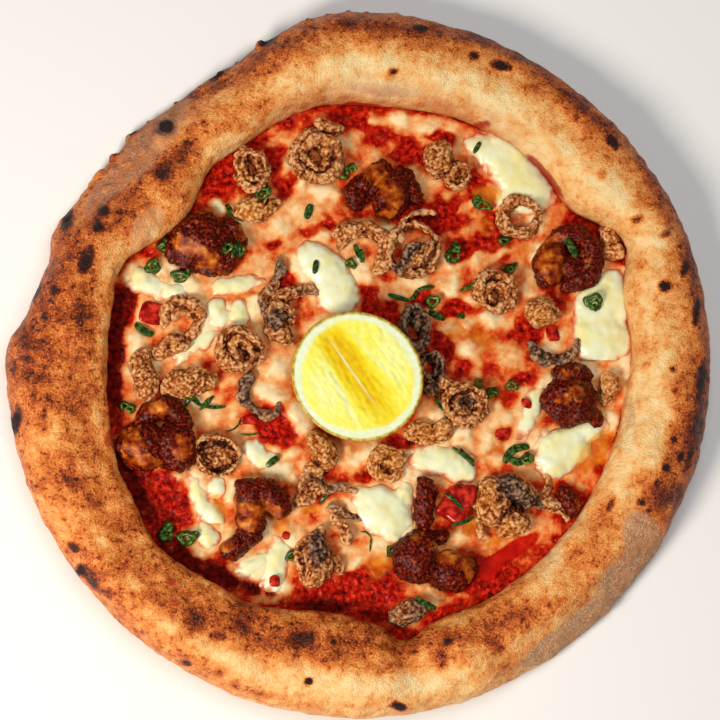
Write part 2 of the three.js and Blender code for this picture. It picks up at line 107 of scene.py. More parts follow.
# Marks placed on the plane at VIEW_HEIGHT: x, y, half length, half width, turn in degrees
# and strength. Each goes where the camera sees it, but straight down on the sauce, which is near
# enough to that plane.
BAKED = [  # dough browned more than round about
    (-38.5, 128, 14.5, 4.9, 35, 0.2), (-21.5, 140, 25.5, 4.4, 20, 0.22),
    (-56, 119.5, 11.5, 2.4, 30, 0.3), (-67.5, 101.5, 1.6, 1.4, 0, 0.6),
    (-85, 79.5, 4.4, 3.4, 0, 0.5), (-79.5, 86, 7.8, 4.4, 50, 0.3), (-109.5, 63, 2.7, 2.7, 0, 0.5),
    (-111.5, 56, 4.9, 3.4, -10, 0.4), (-130, 28.5, 2.1, 2.1, 0, 0.5),
    (-117.5, 17, 8.8, 5.4, 90, 0.25), (-134, 26.5, 22.5, 5.9, 65, 0.14),
    (-124, 57, 4.9, 2, 70, 0.4), (-99, 69.5, 5.9, 2, 45, 0.2), (-73.5, 91, 5.9, 2.9, 50, 0.2),
    (-141.5, 9, 5.9, 3.9, 60, 0.25), (19, 142.5, 29.5, 3.9, -5, 0.3),
    (62, 137, 24.5, 3.9, -20, 0.3), (82.5, 121, 19.5, 4.9, -35, 0.25),
    (102, 102.5, 19.5, 6.8, -45, 0.3), (97, 91, 11.5, 3.9, -55, 0.2),
    (126.5, 79.5, 19.5, 3.9, -65, 0.25), (143, 41, 19.5, 3.9, -80, 0.3),
    (130.5, 21.5, 11.5, 4.9, -80, 0.2), (73.5, 119.5, 3.9, 2.1, -10, 0.35),
    (55, 117.5, 2.9, 2, 0, 0.3), (14, 125, 2.5, 2.1, 0, 0.5), (7.4, 129.5, 2.4, 1.4, 0, 0.3),
    (104, 82, 2.5, 2.5, 0, 0.4), (83.5, 100.5, 2, 2, 0, 0.35), (121.5, 43, 5.9, 2.9, 0, 0.15),
    (124.5, 7.1, 4.9, 3.9, 0, 0.15), (-141.5, -5.4, 9.8, 5.9, 0, 0.2),
    (-124, -2.5, 3.9, 7.8, 0, 0.1), (-129, -54, 5.9, 3.9, -45, 0.15),
    (-124, -50.5, 5.9, 2, -50, 0.3), (-114.5, -58, 11.5, 3.4, -60, 0.15),
    (-99, -72, 8.8, 2.9, -50, 0.1), (-85, -101, 12.5, 5.9, -40, 0.1),
    (-69.5, -111, 4.9, 5.9, -60, 0.35), (-60.5, -116.5, 3.9, 2, 0, 0.35),
    (-51, -110, 5.9, 5.9, 0, 0.25), (-46, -114.5, 19.5, 5.9, -20, 0.24),
    (-24.5, -118.5, 5.9, 4.9, 0, 0.3), (-14, -120.5, 14.5, 5.9, -10, 0.24),
    (-48, -105, 5.9, 2, -30, 0.3), (-53, -137, 2.9, 2, 0, 0.25), (-60, -132.5, 2.4, 1.5, 0, 0.25),
    (-42, -141, 4.9, 1.4, -20, 0.25), (-20, -145, 2.9, 2, 0, 0.2),
    (-120.5, -80.5, 3.9, 2.4, 0, 0.2), (-106.5, -99, 2.9, 2, -45, 0.3),
    (134, -11.5, 5.9, 3.9, -90, 0.25), (144, -19, 19.5, 3.9, 80, 0.22),
    (136, -32.5, 11.5, 5.9, 75, 0.18), (121.5, -50.5, 7.8, 5.9, 0, 0.3),
    (107, -66, 9.8, 8.8, 50, 0.3), (97, -82.5, 15.5, 5.9, 55, 0.3), (89.5, -80.5, 5.9, 5.9, 0, 0.2),
    (77.5, -105, 11.5, 4.9, 35, 0.25), (60, -109, 14.5, 5.9, 15, 0.3),
    (43.5, -114.5, 11.5, 4.9, 10, 0.22), (56, -120.5, 5.9, 3.4, -40, 0.4),
    (37, -119, 2.1, 1.4, 0, 0.5), (34, -126.5, 4.4, 2.9, 80, 0.4), (14, -129, 3.4, 1.8, 0, 0.25),
    (3.5, -118.5, 5.9, 5.9, 0, 0.2), (24, -121.5, 19.5, 2.9, 5, 0.1),
    (16, -146, 3.9, 1.8, -20, 0.5), (60, -129.5, 5.9, 3.9, 20, 0.2),
    (50.5, -133, 4.9, 2.9, 20, 0.15), (129.5, -58, 8.8, 3.9, 50, 0.3),
]
PALE_AND_HIGHLIGHTS = [  # dough browned less, and painted highlights: the narrow streaks on the lower left rim
    (-129, -30, 3, 9, 10, 0.3), (-108.5, -77, 2.5, 7, 35, 0.4), (-84, -109.5, 8, 3, -35, 0.3),
    (81, -84, 15, 5, 62, 0.3), (114.5, -31, 9, 2.6, 82, 0.3), (42, -110.5, 10, 3, 15, 0.3),
    (6, 117.5, 16, 3.6, -4, 0.4), (-117, -48, 2.5, 9, 25, 0.3), (-95, -95, 6, 2.5, -45, 0.3),
    (-112, -22, 2.5, 8, 5, 0.25), (-21.5, 121, 27.5, 4.9, 12, 0.25),
    (-60.5, 93, 12.5, 5.9, 45, 0.12), (-106.5, 41, 12.5, 5.9, 80, 0.3),
    (-109.5, 12, 10.5, 3.4, 85, 0.1), (-7.1, 129, 9.8, 3.9, 5, 0.2),
    (-85, 69.5, 5.9, 5.9, 50, 0.15), (9.3, 129, 11.5, 3.9, -5, 0.22),
    (58, 112.5, 10.5, 5.9, -20, 0.26), (73.5, 91, 12.5, 5.9, -30, 0.22),
    (110, 72.5, 10.5, 6.8, -50, 0.26), (123.5, 52, 7.8, 2.9, 0, 0.26),
    (123.5, 17, 5.9, 15.5, 0, 0.1), (33.5, 121, 15.5, 3.9, -10, 0.14),
    (-111.5, -68, 5.9, 3.9, -50, 0.15), (-56, -126.5, 24.5, 4.4, -25, 0.3),
    (-21.5, -135, 21.5, 5.9, -8, 0.34), (-124, -68, 5.9, 5.9, -50, 0.1),
    (-95, -77.5, 9.8, 3.9, -50, 0.1), (123.5, -12.5, 7.8, 16.5, 0, 0.14),
    (119.5, -33.5, 5.9, 11.5, 0, 0.12), (19, -136, 23.5, 5.9, 5, 0.34),
    (87.5, -95, 8.8, 5.9, 50, 0.16), (112, -48.5, 5.9, 5.9, 0, 0.12),
    (43.5, -125.5, 7.8, 2.9, 10, 0.15), (77.5, -126.5, 5.9, 2.9, 20, 0.1),
    (-90, 57, 9, 6.5, 50, 0.3),
]
FLOURED = [  # dough dusted with flour
    (-91, 91, 32, 8.3, 50, 0.9), (-112.5, 68.5, 10.5, 3.9, 55, 0.7), (-91, 57, 10.5, 6, 50, 1),
    (-95, 46, 4.9, 3.9, 0, 0.6), (8.4, 117, 15.5, 3.5, -5, 0.9), (125.5, 85, 19.5, 3.3, -60, 0.5),
    (132.5, 58, 11.5, 3.9, -75, 0.45), (62, 134, 5.9, 2.9, -25, 0.5),
    (120.5, -73.5, 10.5, 8.3, -60, 1.3), (111, -93, 14.5, 7.3, 50, 1.3),
    (93, -112, 15.5, 5.9, 40, 1.2), (77.5, -122.5, 11.5, 4.4, 35, 1.1),
    (115.5, -22, 3.9, 10.5, 0, 0.6), (77.5, -80.5, 5.9, 5.9, 30, 0.6),
    (73.5, -95, 5.9, 2.9, 20, 0.5), (-110.5, -46.5, 5.9, 1.4, 90, 0.3),
]
CHARRED = [  # dough burnt black
    (-83, 99.5, 4.1, 3.5, 10, 1.2), (-116.5, 42, 6.3, 2.9, 70, 0.8), (-111.5, 56, 2.5, 2, 0, 0.5),
    (-109, 63, 1.4, 1.2, 0, 0.6), (-85.5, 79.5, 2.3, 1.8, 0, 0.55), (-78, 111.5, 2.9, 1.4, 20, 0.8),
    (-40, 137.5, 4.4, 2.1, 30, 0.8), (-61.5, 121.5, 3.9, 1.4, 35, 0.7),
    (-125, 59, 3.9, 1.6, 65, 0.9), (-138, 27.5, 3.9, 1.4, 60, 0.8), (49, 132.5, 2, 1.8, 0, 1.1),
    (60.5, 128.5, 4.3, 2.1, -12, 1.2), (119.5, 62.5, 2.7, 2, 20, 0.75),
    (131.5, 33.5, 2.9, 2.5, 0, 1.2), (25.5, 144, 2.9, 1.4, -10, 0.8), (14, 125, 1.4, 1.2, 0, 0.7),
    (109, 96, 3.9, 2, -50, 0.7), (131.5, 56, 2.9, 1.4, 20, 0.6), (145, 22.5, 5.9, 1.6, 80, 0.8),
    (140, 41, 3.9, 1.6, 70, 0.6), (-145.5, -27, 5.1, 2, 80, 1.3), (-118, -89.5, 2.3, 2.3, 0, 1),
    (-113.5, -92.5, 6.8, 2.5, -55, 0.5), (-22, -135.5, 2, 1.8, 0, 1.2),
    (-73.5, -128, 2.3, 1.2, -15, 0.8), (-121, -79.5, 2.9, 1.6, -40, 0.6),
    (134.5, -2, 1.6, 1.4, 0, 0.9), (135, -11.5, 1.2, 1.2, 0, 0.7), (134.5, -32.5, 1.4, 1.2, 0, 0.9),
    (131, -44.5, 1.6, 1.6, 0, 0.9), (120, -59.5, 1.8, 1.5, 0, 1.2), (137.5, -40, 2, 1.2, 60, 0.9),
    (107, -60.5, 3.5, 1.3, 60, 0.6), (16, -146, 3.3, 1.8, -15, 0.9), (147, -5.4, 6.8, 2, 85, 0.5),
    (141, -41.5, 6.8, 1.4, 70, 0.4),
]
STAINED = [  # dough red with sauce
    (-80, -94, 2.3, 1.8, -20, 1.1), (-78.5, -102.5, 2.7, 1.8, -25, 0.8),
    (-100.5, -87, 1.4, 1.2, 0, 0.8), (-106.5, -33.5, 4.9, 2, 80, 0.9),
    (-114.5, -21.5, 2.3, 1, 80, 0.5), (-85, -110, 5.9, 1, 0, 0.5), (-85, -97, 1.4, 1, 0, 0.5),
    (9.3, 108.5, 14.5, 1.6, -10, 1), (52.5, 102.5, 5.9, 2.5, 10, 0.6),
    (79.5, 81, 12.5, 2.2, -50, 1.2), (33.5, 105, 7.8, 1.2, -8, 0.6),
    (-17, -105.5, 11.5, 1.2, -3, 0.8), (-7.1, 109.5, 5.9, 1.4, 10, 0.7),
]
FILM = [  # cheese that ran out thin over the sauce
    (-33, 83.5, 4.4, 5.9, -20, 1), (-23, 75.5, 5.4, 4.9, 20, 1), (-26.5, 66.5, 7.3, 7.8, 60, 0.9),
    (-35, 60, 6.8, 4.9, 30, 0.9), (-43, 54, 7.3, 5.4, 35, 1), (-29.5, 53.5, 6.3, 3.9, 0, 0.8),
    (-16, 55, 4.4, 3.4, 0, 0.6), (-14, 69.5, 5.9, 4.4, 50, 0.7), (-44, 40.5, 4.4, 6.3, -40, 0.9),
    (-65.5, 30.5, 8.8, 5.9, -20, 0.9), (-79.5, 41, 5.9, 2.9, -40, 0.8), (-91, 20, 6, 7.3, 0, 0.8),
    (-99, 9, 5.9, 5.4, 0, 0.8), (-85, 13, 5.9, 3.9, 0, 0.7), (-41, 10, 8.8, 5.9, 20, 0.8),
    (-32.5, 3.2, 5.9, 3.9, 0, 0.8), (-21.5, 15, 5.9, 2.9, 40, 0.7), (-60, 65, 2.9, 3.9, 60, 0.7),
    (-49, 59, 3.9, 2.9, 0, 0.7), (-67.5, 70.5, 4.9, 2.9, 20, 0.35), (-35, 95, 5.9, 2.4, 20, 0.6),
    (-3.2, 95, 6.8, 3.9, 80, 0.7), (-4.1, 47, 5.9, 5.9, 0, 0.8), (24, 102.5, 18.5, 2.7, -3, 0.75),
    (38.5, 100.5, 5.9, 2.4, -10, 0.6), (11.5, 93, 6.8, 2.9, 0, 0.55), (32, 95, 4.9, 1.8, 0, 0.5),
    (43.5, 95, 5.9, 2.9, 70, 0.6), (24, 80.5, 3.9, 3.4, -50, 0.7), (31, 75.5, 4.9, 3.9, -30, 0.75),
    (39.5, 72.5, 3.9, 2, 0, 0.5), (44.5, 66, 6.3, 2.1, 35, 0.9), (51.5, 72.5, 3.9, 2.9, -50, 0.6),
    (55, 45, 12, 2.7, 18, 1), (2.5, 57.5, 4.9, 4.9, -30, 0.9), (10.5, 56, 3.4, 2, 0, 0.6),
    (22, 35, 7.3, 3.7, 20, 0.9), (14, 29.5, 9.3, 4.4, 0, 0.9), (26, 40, 4.9, 2.9, 0, 0.5),
    (38.5, 35, 7.3, 5.4, 60, 0.9), (46.5, 27.5, 4.9, 2.9, 0, 0.6), (55, 17.5, 10.5, 3.9, 8, 1),
    (42.5, 14, 6.8, 5.9, 0, 0.55), (35.5, 15, 3.9, 2.9, 0, 0.7), (48.5, 7.1, 8.8, 3.9, 0, 0.45),
    (82.5, 10, 5.4, 3.4, 50, 0.9), (74.5, 50, 5.9, 3.9, 0, 0.45), (112, 37.5, 5.9, 4.4, 60, 0.8),
    (115.5, 7.1, 5.9, 2.9, 80, 0.7), (-99, -6.4, 5.9, 3.9, 80, 0.8),
    (-77.5, -6.4, 8.8, 3.9, 10, 0.8), (-67.5, -16, 7.8, 4.4, -10, 1),
    (-62.5, -24, 6.8, 5.9, -30, 0.95), (-53, -20.5, 4.9, 2.9, 20, 0.75),
    (-46, -29, 5.9, 3.9, 0, 0.4), (-41, -11.5, 5.9, 4.9, 0, 0.8), (-34.5, -14, 6.8, 6.8, 0, 0.9),
    (-33.5, -4.5, 5.9, 3.9, 0, 0.8), (-27.5, -24, 6.8, 4.9, -40, 0.85),
    (-24.5, -32, 5.9, 3.9, 0, 0.7), (-29.5, -41.5, 7.8, 4.9, 0, 0.7),
    (-40, -41.5, 6.8, 4.9, 0, 0.8), (-9, -38.5, 5.9, 4.9, -30, 0.75),
    (-4.1, -45.5, 3.9, 2.9, 0, 0.6), (-11, -53, 7.8, 2, 5, 0.6), (-7.1, -60, 5.9, 2.4, 0, 0.5),
    (-6.1, -68, 5.9, 4.4, -30, 0.9), (-76.5, -48.5, 5.4, 1.8, -5, 0.8),
    (-60, -50, 5.9, 1.5, -10, 0.7), (-85, -64, 3.9, 2.9, 0, 0.45), (-34.5, -72, 5.9, 4.9, 60, 0.9),
    (-3.2, -83.5, 4.9, 4.9, 0, 0.9), (-39.5, -101, 6.8, 2, -10, 0.5),
    (-68.5, -83.5, 3.9, 1.5, 0, 0.4), (-13, -100, 6.8, 1.5, 0, 0.4), (32, -22, 5.9, 4.9, -20, 0.8),
    (40.5, -30, 4.9, 2.9, 0, 0.8), (48.5, -32, 8.8, 5.4, 0, 0.9), (52.5, -38.5, 6.8, 3.9, -20, 0.8),
    (47.5, -7.4, 4.9, 3.9, -30, 0.7), (57, -22, 5.9, 5.9, 0, 0.5), (72.5, -21, 12.5, 4.4, 68, 0.95),
    (68, -33.5, 4.9, 3.9, 0, 0.9), (74.5, -40.5, 5.9, 5.9, 0, 0.9), (72, -46.5, 6.8, 3.9, -20, 0.8),
    (109, -14, 5.9, 5.9, 0, 0.6), (107, -24, 5.9, 3.9, 40, 0.7), (98, -45.5, 4.9, 3.9, -30, 0.7),
    (98, -52.5, 4.9, 3.9, -40, 0.6), (5.4, -38.5, 5.9, 2.9, 20, 0.6), (5.4, -54, 5.9, 2.9, 0, 0.9),
    (45.5, -71, 4.9, 4.4, 0, 0.6), (72, -69, 4.4, 2.4, 70, 0.7), (24, -95, 5.9, 2.9, 10, 0.4),
    (24, 104, 20, 3, -5, 0.9), (116, -10, 3.5, 16, 0, 0.9), (108, -42, 3.5, 10, -20, 0.8),
    (100, -57, 6, 4, 40, 0.5), (37.5, -101, 7.8, 2.4, 15, 0.5), (29, -106, 5.9, 2.9, 20, 0.5),
    (5.4, -80.5, 7.8, 3.9, 0, 0.4),
]
OILY = [  # orange oil on the sauce and the cheese
    (100.5, -37.5, 12, 5.5, 51, 1.3), (76.5, -30, 10.5, 1, 65, 0.6), (48.5, -70, 4.9, 4.4, 0, 1.3),
    (57.5, -77, 5, 2.5, 25, 0.9), (5.4, -81.5, 9.8, 4.9, -10, 0.6), (7.4, -88.5, 7.8, 4.9, 0, 0.6),
    (52.5, 72.5, 5.9, 4.9, -40, 0.9), (58, 72.5, 3.9, 3.9, 0, 0.8), (70, 49, 6.8, 4.9, 0, 0.6),
    (54, 60, 5.9, 4.9, 90, 0.5), (44.5, 14, 11.5, 5.9, 0, 0.65), (54, 7.1, 10.5, 4.9, 0, 0.6),
    (115, 27.5, 7.8, 2.1, 80, 0.7), (116.5, 7.1, 5.9, 2, 80, 0.7), (-50, 27.5, 8.8, 1.8, 5, 0.8),
    (-19, 43, 5.9, 1.5, 30, 0.4), (-44, 32.5, 2.9, 2.9, 0, 0.5), (-85, 35.5, 2.9, 2, 0, 0.5),
    (-69.5, 34.5, 3.9, 2, 0, 0.5), (-56, -21, 5.9, 3.9, 0, 0.5), (-60, -62, 8.8, 3.4, -60, 0.8),
    (-32.5, -71, 4.9, 4.9, 0, 0.9), (-21.5, -63.5, 5.9, 2.4, 0, 0.8),
    (2.5, -45.5, 5.9, 2.4, 20, 0.5), (43.5, -33.5, 3.9, 2, -30, 0.6),
    (58, -36.5, 3.9, 2.9, 30, 0.7), (57, -14, 6.8, 5.9, 90, 0.5),
]
RED = [  # sauce without a film
    (-62, 75, 9, 6, 0, 1), (-34, 81, 13, 4.5, -70, 1), (-27, 54, 17, 2.2, 15, 0.9),
    (-33, 33, 5, 6, 0, 1), (-4.5, 103, 7, 5, 0, 1), (10, 96, 9, 4, 0, 0.7), (22, 91, 10, 5, 0, 0.8),
    (36, 97, 9, 3, -10, 0.5), (50, 75, 4.5, 9, 10, 1), (38, 64, 7, 8, 0, 1), (46, 50, 8, 4, 0, 0.8),
    (62, 47, 8, 4, 20, 0.4), (5, 30, 6, 3, 0, 0.9), (25, 27, 4.5, 4, 0, 0.9),
    (41, 23, 6, 4, 0, 0.9), (71, 13, 7, 5, 0, 0.9), (50, 14, 5, 3, 0, 0.7), (34, 5, 6, 6, 0, 1),
    (-37, -29, 9, 8, 30, 1), (-80, -61, 9, 12, 20, 1), (-92, -50, 8, 4, 0, 0.8),
    (-12, -99, 13, 4, 0, 1), (-7, -50, 6, 3, 0, 0.6), (16, -35, 8, 3.5, 0, 0.9),
    (2.5, -49, 4, 3, 0, 0.6), (8, -96, 10, 7, 0, 1), (73, -6, 7, 4, 0, 0.8), (45, -4, 5, 5, 0, 0.7),
    (63, -30, 3.5, 4, -20, 0.8), (-47, 44, 5, 3, 0, 0.5), (-72, 20, 5, 3, 0, 0.4),
    (-20, 20, 4, 4, 0, 0.4), (77, -50, 5, 6, 0, 0.5), (100, -60, 8, 4, -40, 0.5),
    (60, 62, 5, 4, 0, 0.5), (20, 63, 7, 5, 0, 0.8), (30, 60, 5, 7, 0, 0.6),
    (-55, 95, 9, 5, 30, 0.8), (-75, 65, 5, 4, 0, 0.7), (90, 25, 6, 7, 0, 0.5),
    (-84, -5, 3, 10, 0, 0.5), (-45, -58, 8, 4, 0, 0.6), (-2, -94, 7, 7, 0, 0.8),
    (50, -90, 14, 8, 20, 0.7), (112, 52, 5, 7, 0, 0.5), (-100, 25, 5, 8, 0, 1.2),
    (-4, 74, 4, 6, 0, 0.5), (40, -14, 5, 4, 0, 0.4), (-27, -33.5, 5, 4, 0, 0.8),
    (51, -46.5, 5, 3, 0, 0.4), (30, -9, 14, 6, 0, 0.3), (20, 72, 9, 6, 0, 0.4),
    (8, 21, 13, 7, -40, 0.9), (31, 10, 6, 6, 0, 0.6), (-38, -25, 5, 12, -30, 0.5),
    (57, 57, 6, 8, 0, 0.5),
]
RIM_SHADE_AND_DARK_SAUCE = [  # painted shade that the rim casts along the sauce's edge, and darker sauce among the toppings
    (-102.5, 14, 19.5, 4.4, 90, 1), (-104.5, -9.3, 19.5, 3.9, 90, 1),
    (-100.5, -50.5, 9.8, 5.9, -60, 1), (-93, -60, 11.5, 4.9, -60, 0.9),
    (-77.5, -83.5, 9.8, 5.9, -40, 0.9), (-60.5, -90.5, 11.5, 4.9, -35, 1),
    (-41, -98, 11.5, 3.9, -25, 0.8), (-15, -104, 11.5, 2.9, 0, 1), (9.3, -107, 11.8, 3.5, 0, 0.6),
    (87.5, -54, 5.9, 3.9, -40, 0.8), (-38.5, 85, 6.8, 3.9, 0, 0.3), (32, 62.5, 5.9, 3.9, 0, 0.6),
    (43.5, 46, 5.9, 3.9, 90, 0.4), (-33.5, 35.5, 5.9, 3.9, 90, 0.5), (12.5, 10, 7.8, 6.8, 0, 0.8),
    (-53, 83, 5.9, 3.9, 0, 0.4), (-97.5, 27, 4, 5, 0, 0.8),
]
RED_POOLS = [  # smooth, wet sauce
    (66, -79.5, 16.5, 4.1, 33, 0.75), (54, -88.5, 5.9, 4.9, 20, 0.9),
    (41.5, -58, 6.8, 7.8, -20, 0.8), (81, 81, 12, 1.7, -47, 1), (-23.5, -87.5, 6.8, 3.7, 90, 0.7),
    (5.4, 100.5, 8.8, 3.9, 0, 0.5), (11.5, 9, 7.8, 4.9, 0, 0.7), (-38.5, 87, 5.9, 5.9, 0, 0.5),
]
AMBER = [  # smooth glaze on the prawns
    (-75.5, 49, 6.3, 4.7, -30, 0.8), (-65.5, 44, 6.3, 4.9, -30, 0.75),
    (-67.5, 64, 4.4, 2.7, 10, 0.8), (-51.5, 53, 2.5, 5.9, 10, 0.7),
    (-61.5, 38.5, 11.5, 2.5, -10, 0.5), (5.4, 80.5, 5.4, 4.4, 20, 1), (13, 72.5, 7.8, 5.4, -50, 1),
    (12.5, 86, 5.4, 1.8, 0, 0.6), (11.5, 63.5, 4.4, 2.5, 0, 0.9), (81.5, 43, 9.3, 6.8, -75, 1.1),
    (83.5, 53, 5.9, 2.5, 20, 0.6), (77.5, 60, 3.9, 2, 50, 0.5), (90.5, -4.5, 5.9, 3.9, 0, 0.6),
    (85.5, -15.5, 2.5, 2, 0, 0.8), (91, -13, 7.5, 5, 20, 0.6), (97, 47, 4, 8, 10, 0.35),
    (-96, -36.5, 7.3, 9.3, 0, 0.75), (-86, -21, 6.8, 3.3, -10, 1.1),
    (-75.5, -37.5, 4.9, 6.3, 0, 0.9), (-90, -44, 6.8, 2.9, 0, 0.8), (-48.5, -67, 7.8, 4.9, -60, 1),
    (-37.5, -64.5, 9.3, 4.1, -30, 1.1), (-57, -78.5, 4.1, 3.3, 20, 0.9),
    (-54.5, -58, 2, 5.9, 10, 0.7), (38.5, -82.5, 9.3, 4.9, -20, 1), (24, -74.5, 5.9, 3.5, 0, 0.6),
    (45.5, -89.5, 2.5, 5.4, 10, 0.7), (92.5, -60, 2.5, 3.9, 0, 0.6),
]


# ---------------------------------------------------------------- helpers


def colour(code):
    """The linear colour of an sRGB hex code."""
    shares = [int(code[i:i + 2], 16) / 255 for i in (0, 2, 4)]
    linear = [c / 12.92 if c <= 0.04045 else ((c + 0.055) / 1.055) ** 2.4 for c in shares]
    return (*linear, 1.0)


def add(tree, kind, inputs=None, out=0, stops=(), **settings):
    """Adds a node and gives back one of its outputs. An input is a value or the output that feeds
    it, and `stops` are a ramp's places and colours. Inputs go by name or by number: MapRange takes
    0 from between 1 and 2 to between 3 and 4, and Mix blends the colours 6 and 7 by 0."""
    made = tree.nodes.new("ShaderNode" + kind)
    for name, value in settings.items():
        setattr(made, name, value)
    for name, value in (inputs or {}).items():
        if isinstance(value, bpy.types.NodeSocket):
            tree.links.new(value, made.inputs[name])
        else:
            made.inputs[name].default_value = value
    if stops:
        elements = made.color_ramp.elements
        for place, code in stops[1:-1]:
            elements.new(place).color = colour(code)
        for element, (place, code) in ((elements[0], stops[0]), (elements[-1], stops[-1])):
            element.position = place
            element.color = colour(code)
    return made.outputs[out]


def per_mm(size):
    """Noise scale, in metres, for grains of this many millimetres."""
    return 1000 / size


def new_material(name, values):
    """A material, its nodes and its shader, with values for some of the shader's inputs."""
    material = bpy.data.materials.new(name)
    material.use_nodes = True
    tree = material.node_tree
    shader = tree.nodes["Principled BSDF"]
    for key, value in values.items():
        shader.inputs[key].default_value = value
    return material, tree, shader


def perlin(points, size, seed=0.0):
    """Smooth noise from -1 to 1 with bumps about `size` wide, at each of the points. Another seed
    gives other bumps."""
    return np.array([noise.noise(p) for p in (points / size + seed).tolist()])


def borders(points, size, seed=0.0):
    """How far each of the points is from the border between cells about `size` wide: 0 on it."""
    nearest = np.array([noise.voronoi(p)[0][:2] for p in (points / size + seed).tolist()])
    return nearest[:, 1] - nearest[:, 0]


def step(low, high, value):
    """0 below `low`, 1 above `high`, and smooth between."""
    share = np.clip((value - low) / (high - low), 0, 1)
    return share * share * (3 - 2 * share)


def unevenness(entries, angle):
    """What the entries add at each angle round the pizza, in degrees."""
    total = np.zeros_like(angle)
    for at, wide, amount, power in entries:
        away = (angle - at + 180) % 360 - 180
        total += amount * np.exp(-(np.abs(away / wide) ** power))
    return total


def along_and_across(x, y, at_x, at_y, turn):
    """How far each place is from a middle, along a line turned by `turn` degrees and across it."""
    c, s = math.cos(math.radians(turn)), math.sin(math.radians(turn))
    return (x - at_x) * c + (y - at_y) * s, (y - at_y) * c - (x - at_x) * s


def marks(entries, x, y):
    """The marks' strengths, added up at each place."""
    total = np.zeros_like(x)
    for at_x, at_y, half_length, half_width, turn, strength in entries:
        along, across = along_and_across(x, y, at_x, at_y, turn)
        away = (along / half_length) ** 2 + (across / half_width) ** 2
        total += strength * np.exp(-(away**1.5))
    return total


def towards_eye():
    """The direction from the pizza to the camera."""
    tilt, side = math.radians(VIEW_TILT), math.radians(VIEW_SIDE)
    flat = math.sin(tilt)
    return Vector((flat * math.cos(side), flat * math.sin(side), math.cos(tilt)))


def as_seen(points):
    """Where points show on the plane that the marks were placed on."""
    eye = np.array(towards_eye()) * VIEW_DISTANCE + [*VIEW_CENTRE, VIEW_HEIGHT]
    share = (eye[2] - VIEW_HEIGHT) / (eye[2] - points[:, 2])
    seen = eye[:2] + (points[:, :2] - eye[:2]) * share[:, None]
    return seen[:, 0], seen[:, 1]


def points_of(mesh):
    """The places of the vertices, a row each."""
    flat = np.empty(len(mesh.vertices) * 3)
    mesh.vertices.foreach_get("co", flat)
    return flat.reshape(-1, 3)


def normals_of(mesh):
    """The outward directions at the vertices, a row each."""
    flat = np.empty(len(mesh.vertices) * 3)
    mesh.vertex_normals.foreach_get("vector", flat)
    return flat.reshape(-1, 3)


def hollows(mesh, rounds):
    """How far each vertex lies under its surroundings, in millimetres, and negative on a ridge."""
    ends = np.empty(len(mesh.edges) * 2, dtype=np.int32)
    mesh.edges.foreach_get("vertices", ends)
    others = ends.reshape(-1, 2)[:, ::-1].ravel()
    share = 1 / np.bincount(ends)[:, None]
    points = smooth = points_of(mesh)
    for _ in range(rounds):
        sums = [np.bincount(ends, smooth[others, axis]) for axis in range(3)]
        smooth = np.column_stack(sums) * share
    return ((smooth - points) * normals_of(mesh)).sum(axis=1)


def move_points(mesh, points):
    """Gives the vertices new places."""
    mesh.vertices.foreach_set("co", points.ravel())
    mesh.update()


def store(mesh, **layers):
    """Keeps a value for each vertex, for the material to read."""
    for name, values in layers.items():
        layer = mesh.attributes.new(name, "FLOAT", "POINT")
        layer.data.foreach_set("value", np.clip(values, 0, 1))


def mesh_of(bm, name):
    """Turns a bmesh into a mesh, and frees it."""
    mesh = bpy.data.meshes.new(name)
    bm.to_mesh(mesh)
    bm.free()
    return mesh


def put(mesh, material, slot, *nodes):
    """Turns a mesh in millimetres into a piece of the pizza, in place of its nodes."""
    shift = Matrix.Translation((SHIFT.x / 1000, SHIFT.y / 1000, 0))
    mesh.transform(shift @ Matrix.Scale(0.001, 4))
    mesh.shade_smooth()
    mesh.materials.append(material)
    piece = bpy.data.objects.new(mesh.name, mesh)
    bpy.context.scene.collection.objects.link(piece)
    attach(piece, "root")
    if nodes:
        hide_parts(*nodes)
    return piece


# ---------------------------------------------------------------- materials


